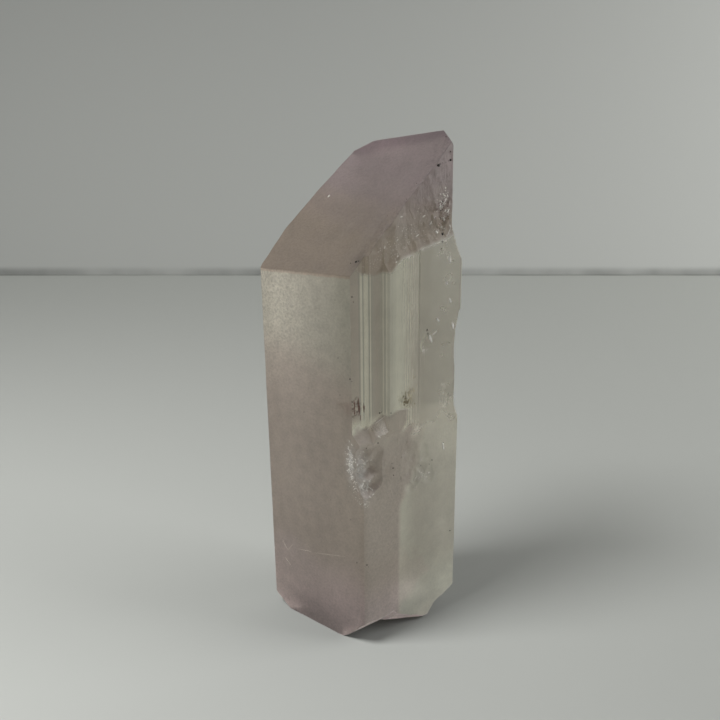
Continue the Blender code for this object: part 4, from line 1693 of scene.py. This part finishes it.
    def veil(
        self, name: str, middle: tuple[float, ...], reach: tuple[float, ...],
        tilt: tuple[float, ...], finish: VeilFinish,
    ) -> Object:
        """A healed crack: a gently bent sheet inside the stone that fades at its border.

        A point lies at the middle plus s times the first reach along the face, t times the second
        up it, and into the stone by the tilts times s and t, plus a slow wave. s and t run from
        -1 to 1. The fade is 1 less the fourth power of the distance from the middle.

        Args:
            name: the piece's name.
            middle: u, w and height of the sheet's middle.
            reach: half its width along the face and half its height.
            tilt: how far into the stone it goes per s and per t.
            finish: the film's finish.

        Returns:
            The piece.
        """
        count = 40
        s, t = np.meshgrid(np.linspace(-1, 1, count), np.linspace(-1, 1, count), indexing="ij")
        spot = np.stack([s * reach[0], t * reach[1]], axis=-1)
        u = middle[0] + spot[..., 0]
        z = middle[2] + spot[..., 1]
        w = middle[1] + tilt[0] * s + tilt[1] * t
        w = w + 0.22 * ripple(spot, 3.4, 71) + 0.08 * ripple(spot, 1.1, 72)
        least = np.maximum(self.crystal.side_depth(u, z) + self.cover, self.front_limit(u))
        w = np.maximum(w, least)
        plan = u[..., None] * self.crystal.along + w[..., None] * self.crystal.inward
        points = self.crystal.upright(plan, z)
        row, column = np.meshgrid(np.arange(count - 1), np.arange(count - 1), indexing="ij")
        a = (row * count + column).ravel()
        faces = np.stack([a, a + count, a + count + 1, a + 1], axis=1)
        made = mesh_object(name, points.reshape(-1, 3), faces, finish.material())
        fade = np.clip(1.0 - (s ** 2 + t ** 2) ** 2, 0.0, 1.0)
        layer = made.data.attributes.new("fade", "FLOAT", "POINT")
        layer.data.foreach_set("value", fade.ravel().astype(np.float32))
        made.data.shade_smooth()
        return made

    def build(self) -> list[Object]:
        """Makes every piece.

        Returns:
            The pieces.
        """
        milky = VeilFinish("healed_crack_milky", "#f2eee8", 0.75, 0.7)
        stained = VeilFinish("healed_crack_stained", "#957a68", 0.35, 1.2)
        ochre = VeilFinish("healed_crack_ochre", "#84703a", 0.85, 0.5)
        red = VeilFinish("healed_crack_rusty", "#8a5a4a", 0.80, 0.5)
        return [
            self.cloud("iron_stain", self.stain, 51, GrainFinish("iron_stain_dark", "#70602f")),
            self.cloud("iron_halo", self.halo, 52, GrainFinish("iron_stain_ochre", "#a8935a")),
            self.cloud("rust_streaks", self.rust, 53, GrainFinish("rust_red_brown", "#8c5c4a")),
            self.dirt(),
            # White grains, partly crushed stone and partly painted glints
            self.bruise_and_glint_grains(GrainFinish("crushed_stone_and_glint_white", "#f3efe8")),
            self.streaks(
                "faint_bruises", {Part.SIDE: self.faint_side, Part.FRONT: self.faint_front}, 68,
                GrainFinish("crushed_stone_faint", "#d9d0c6"),
            ),
            self.veil("veil_hollow", (0.0, 1.2, 26.2), (1.3, 2.6), (0.3, 0.2), milky),
            self.veil("veil_right", (8.0, 0.3, 29.0), (1.6, 1.0), (0.1, 0.1), milky),
            self.veil("veil_right_end", (10.6, 0.3, 28.4), (1.2, 1.2), (0.1, 0.1), milky),
            self.veil("veil_band", (3.4, 0.9, 24.4), (3.0, 3.0), (0.3, -0.4), stained),
            self.veil("veil_streak", (12.6, 0.3, 32.0), (0.7, 3.2), (0.05, 0.1), milky),
            self.veil("veil_low", (13.1, 0.3, 13.2), (0.5, 4.2), (0.05, 0.1), milky),
            self.veil("veil_stain", (7.0, 0.4, 33.7), (1.5, 1.5), (0.05, 0.05), ochre),
            self.veil("veil_rust", (0.2, 1.8, 33.7), (1.1, 1.5), (0.05, 0.05), red),
        ]


@dataclass(frozen=True)
class Lamp:
    """A square area lamp: where it hangs, what it faces, and how it shines."""

    name: str
    place: tuple[float, float, float]
    aim: tuple[float, float, float]
    size: float
    spread: float
    watts: float

    def build(self) -> None:
        """Hangs the lamp."""
        data = bpy.data.lights.new(self.name, "AREA")
        data.size = self.size * MM
        data.spread = self.spread
        data.energy = self.watts
        made = bpy.data.objects.new(self.name, data)
        made.location = Vector(self.place) * MM
        toward = Vector(self.aim) - Vector(self.place)
        made.rotation_euler = toward.to_track_quat("-Z", "Y").to_euler()
        bpy.context.scene.collection.objects.link(made)


@dataclass
class Studio:
    """A pale floor that dips where it meets a pale wall, four soft lamps, and the camera."""

    wall_y: float = 153.0
    dip_width: float = 3.7
    dip_depth: float = 0.6
    half_width: float = 900.0
    camera_place: tuple[float, float, float] = (-0.33, -114.85, 84.3)
    camera_pitch: float = radians(22.5)
    lens_mm: float = 50.0
    lamps: tuple[Lamp, ...] = (
        Lamp("lamp_left", (-109.0, -50.0, 211.0), (-99.0, -50.0, 0.0), 75.0, radians(140), 0.27),
        Lamp("lamp_right", (260.0, 0.0, 200.0), (80.0, 153.0, 80.0), 200.0, radians(180), 0.355),
        Lamp("lamp_low", (350.0, -50.0, 60.0), (160.0, 153.0, 100.0), 150.0, radians(100), 0.256),
        Lamp("lamp_front", (300.0, -200.0, 250.0), (60.0, 153.0, 60.0), 250.0, radians(180), 0.027),
    )
    sky_strength: float = 0.02
    sky_colour: str = "#f4f5f2"
    card_colour: str = "#c9cbc6"
    crease_shade_colour: str = "#3c3d3a"
    fibre_mm: float = 1.4
    crease_shade_patch_mm: float = 16.0

    def card(self) -> Material:
        """Matt pale card, a little grey green, with a trace of fibre, and painted shade in the dip
        where the floor meets the wall.
        """
        made = bpy.data.materials.new("matt_card")
        made.use_nodes = True
        tree = made.node_tree
        shader = tree.nodes["Principled BSDF"]
        place = add_node(tree, "ShaderNodeTexCoord").outputs["Object"]
        fibre = add_node(
            tree, "ShaderNodeTexNoise",
            {"Vector": place, "Scale": 1 / (self.fibre_mm * MM), "Detail": 3.0},
        ).outputs["Fac"]
        bump = add_node(
            tree, "ShaderNodeBump", {"Height": fibre, "Strength": 0.12, "Distance": 0.05 * MM},
        ).outputs["Normal"]
        tree.links.new(bump, shader.inputs["Normal"])
        axes = add_node(tree, "ShaderNodeSeparateXYZ", {"Vector": place}).outputs
        # Painted shade along the floor's join with the wall: darkest in the dip and on the wall's
        # lowest 2 mm, in patches
        start = self.wall_y - self.dip_width
        in_dip = add_node(
            tree, "ShaderNodeMapRange",
            {"Value": axes["Y"], "From Min": start * MM, "From Max": (start + 0.7) * MM},
        ).outputs["Result"]
        above = add_node(
            tree, "ShaderNodeMapRange",
            {"Value": axes["Z"], "From Min": 0.0, "From Max": 2.0 * MM, "To Min": 1.0, "To Max": 0.0},
            interpolation_type="SMOOTHSTEP",
        ).outputs["Result"]
        patches = add_node(
            tree, "ShaderNodeTexNoise",
            {"Vector": place, "Scale": 1 / (self.crease_shade_patch_mm * MM), "Detail": 3.0},
        ).outputs["Fac"]
        patches = add_node(
            tree, "ShaderNodeMapRange",
            {"Value": patches, "From Min": 0.35, "From Max": 0.65, "To Min": 0.14, "To Max": 0.42},
        ).outputs["Result"]
        crease_shade = add_node(
            tree, "ShaderNodeMath", {0: in_dip, 1: above}, operation="MULTIPLY",
        ).outputs["Value"]
        crease_shade = add_node(
            tree, "ShaderNodeMath", {0: crease_shade, 1: patches}, operation="MULTIPLY",
        ).outputs["Value"]
        colour = add_node(
            tree, "ShaderNodeMix",
            {0: crease_shade, 6: linear(self.card_colour), 7: linear(self.crease_shade_colour)}, data_type="RGBA",
        ).outputs[2]
        tree.links.new(colour, shader.inputs["Base Color"])
        shader.inputs["Roughness"].default_value = 0.9
        shader.inputs["Specular IOR Level"].default_value = 0.2
        return made

    def sheet(self) -> tuple[Array, Array]:
        """The card as one bent sheet: its profile in y and z, carried along x.

        The profile runs flat to the dip, down along a half cosine wave, and straight up.

        Returns:
            The points and the faces.
        """
        steps = np.linspace(0.0, 1.0, 9)
        dip_y = self.wall_y - self.dip_width * (1.0 - steps)
        dip_z = -self.dip_depth * (0.5 - 0.5 * np.cos(pi * steps))
        y = np.concatenate([[-self.half_width], dip_y, [self.wall_y]])
        z = np.concatenate([[0.0], dip_z, [self.half_width]])
        x = np.repeat([-self.half_width, self.half_width], len(y))
        points = np.stack([x, np.tile(y, 2), np.tile(z, 2)], axis=1)
        low = np.arange(len(y) - 1)
        faces = np.stack([low, low + len(y), low + len(y) + 1, low + 1], axis=1)
        return points, faces

    def build(self) -> None:
        """Makes the floor and wall, the lamps and the camera."""
        points, faces = self.sheet()
        mesh_object("studio_card", points, faces, self.card())
        world = bpy.data.worlds.new("soft_room")
        world.use_nodes = True
        world.node_tree.nodes.clear()
        sky = add_node(
            world.node_tree, "ShaderNodeBackground",
            {"Color": linear(self.sky_colour), "Strength": self.sky_strength},
        ).outputs["Background"]
        add_node(world.node_tree, "ShaderNodeOutputWorld", {"Surface": sky})
        bpy.context.scene.world = world
        for lamp in self.lamps:
            lamp.build()
        data = bpy.data.cameras.new("camera")
        data.lens = self.lens_mm
        data.sensor_width = 36.0
        data.clip_start = 0.005
        data.clip_end = 10.0
        camera = bpy.data.objects.new("camera", data)
        camera.location = Vector(self.camera_place) * MM
        camera.rotation_euler = (pi / 2 - self.camera_pitch, 0.0, 0.0)
        bpy.context.scene.collection.objects.link(camera)
        bpy.context.scene.camera = camera
        bpy.context.scene.view_settings.view_transform = "Standard"


def main() -> None:
    """Builds the crystal and the studio, in order."""
    logging.basicConfig(level=logging.INFO, format="%(message)s")
    for item in list(bpy.data.objects):
        if item.type in ("LIGHT", "CAMERA"):
            bpy.data.objects.remove(item, do_unlink=True)
    stone = KunziteFinish().material()
    crystal = Crystal()
    body = crystal.build(stone)
    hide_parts("crystal")
    for piece in (body, *Sealed(crystal).build()):
        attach(piece, "root")
        LOG.info("%s: %d faces", piece.name, len(piece.data.polygons))
    Studio().build()
    LOG.info("studio: floor, wall, lamps and camera")


if __name__ == "__main__":
    main()
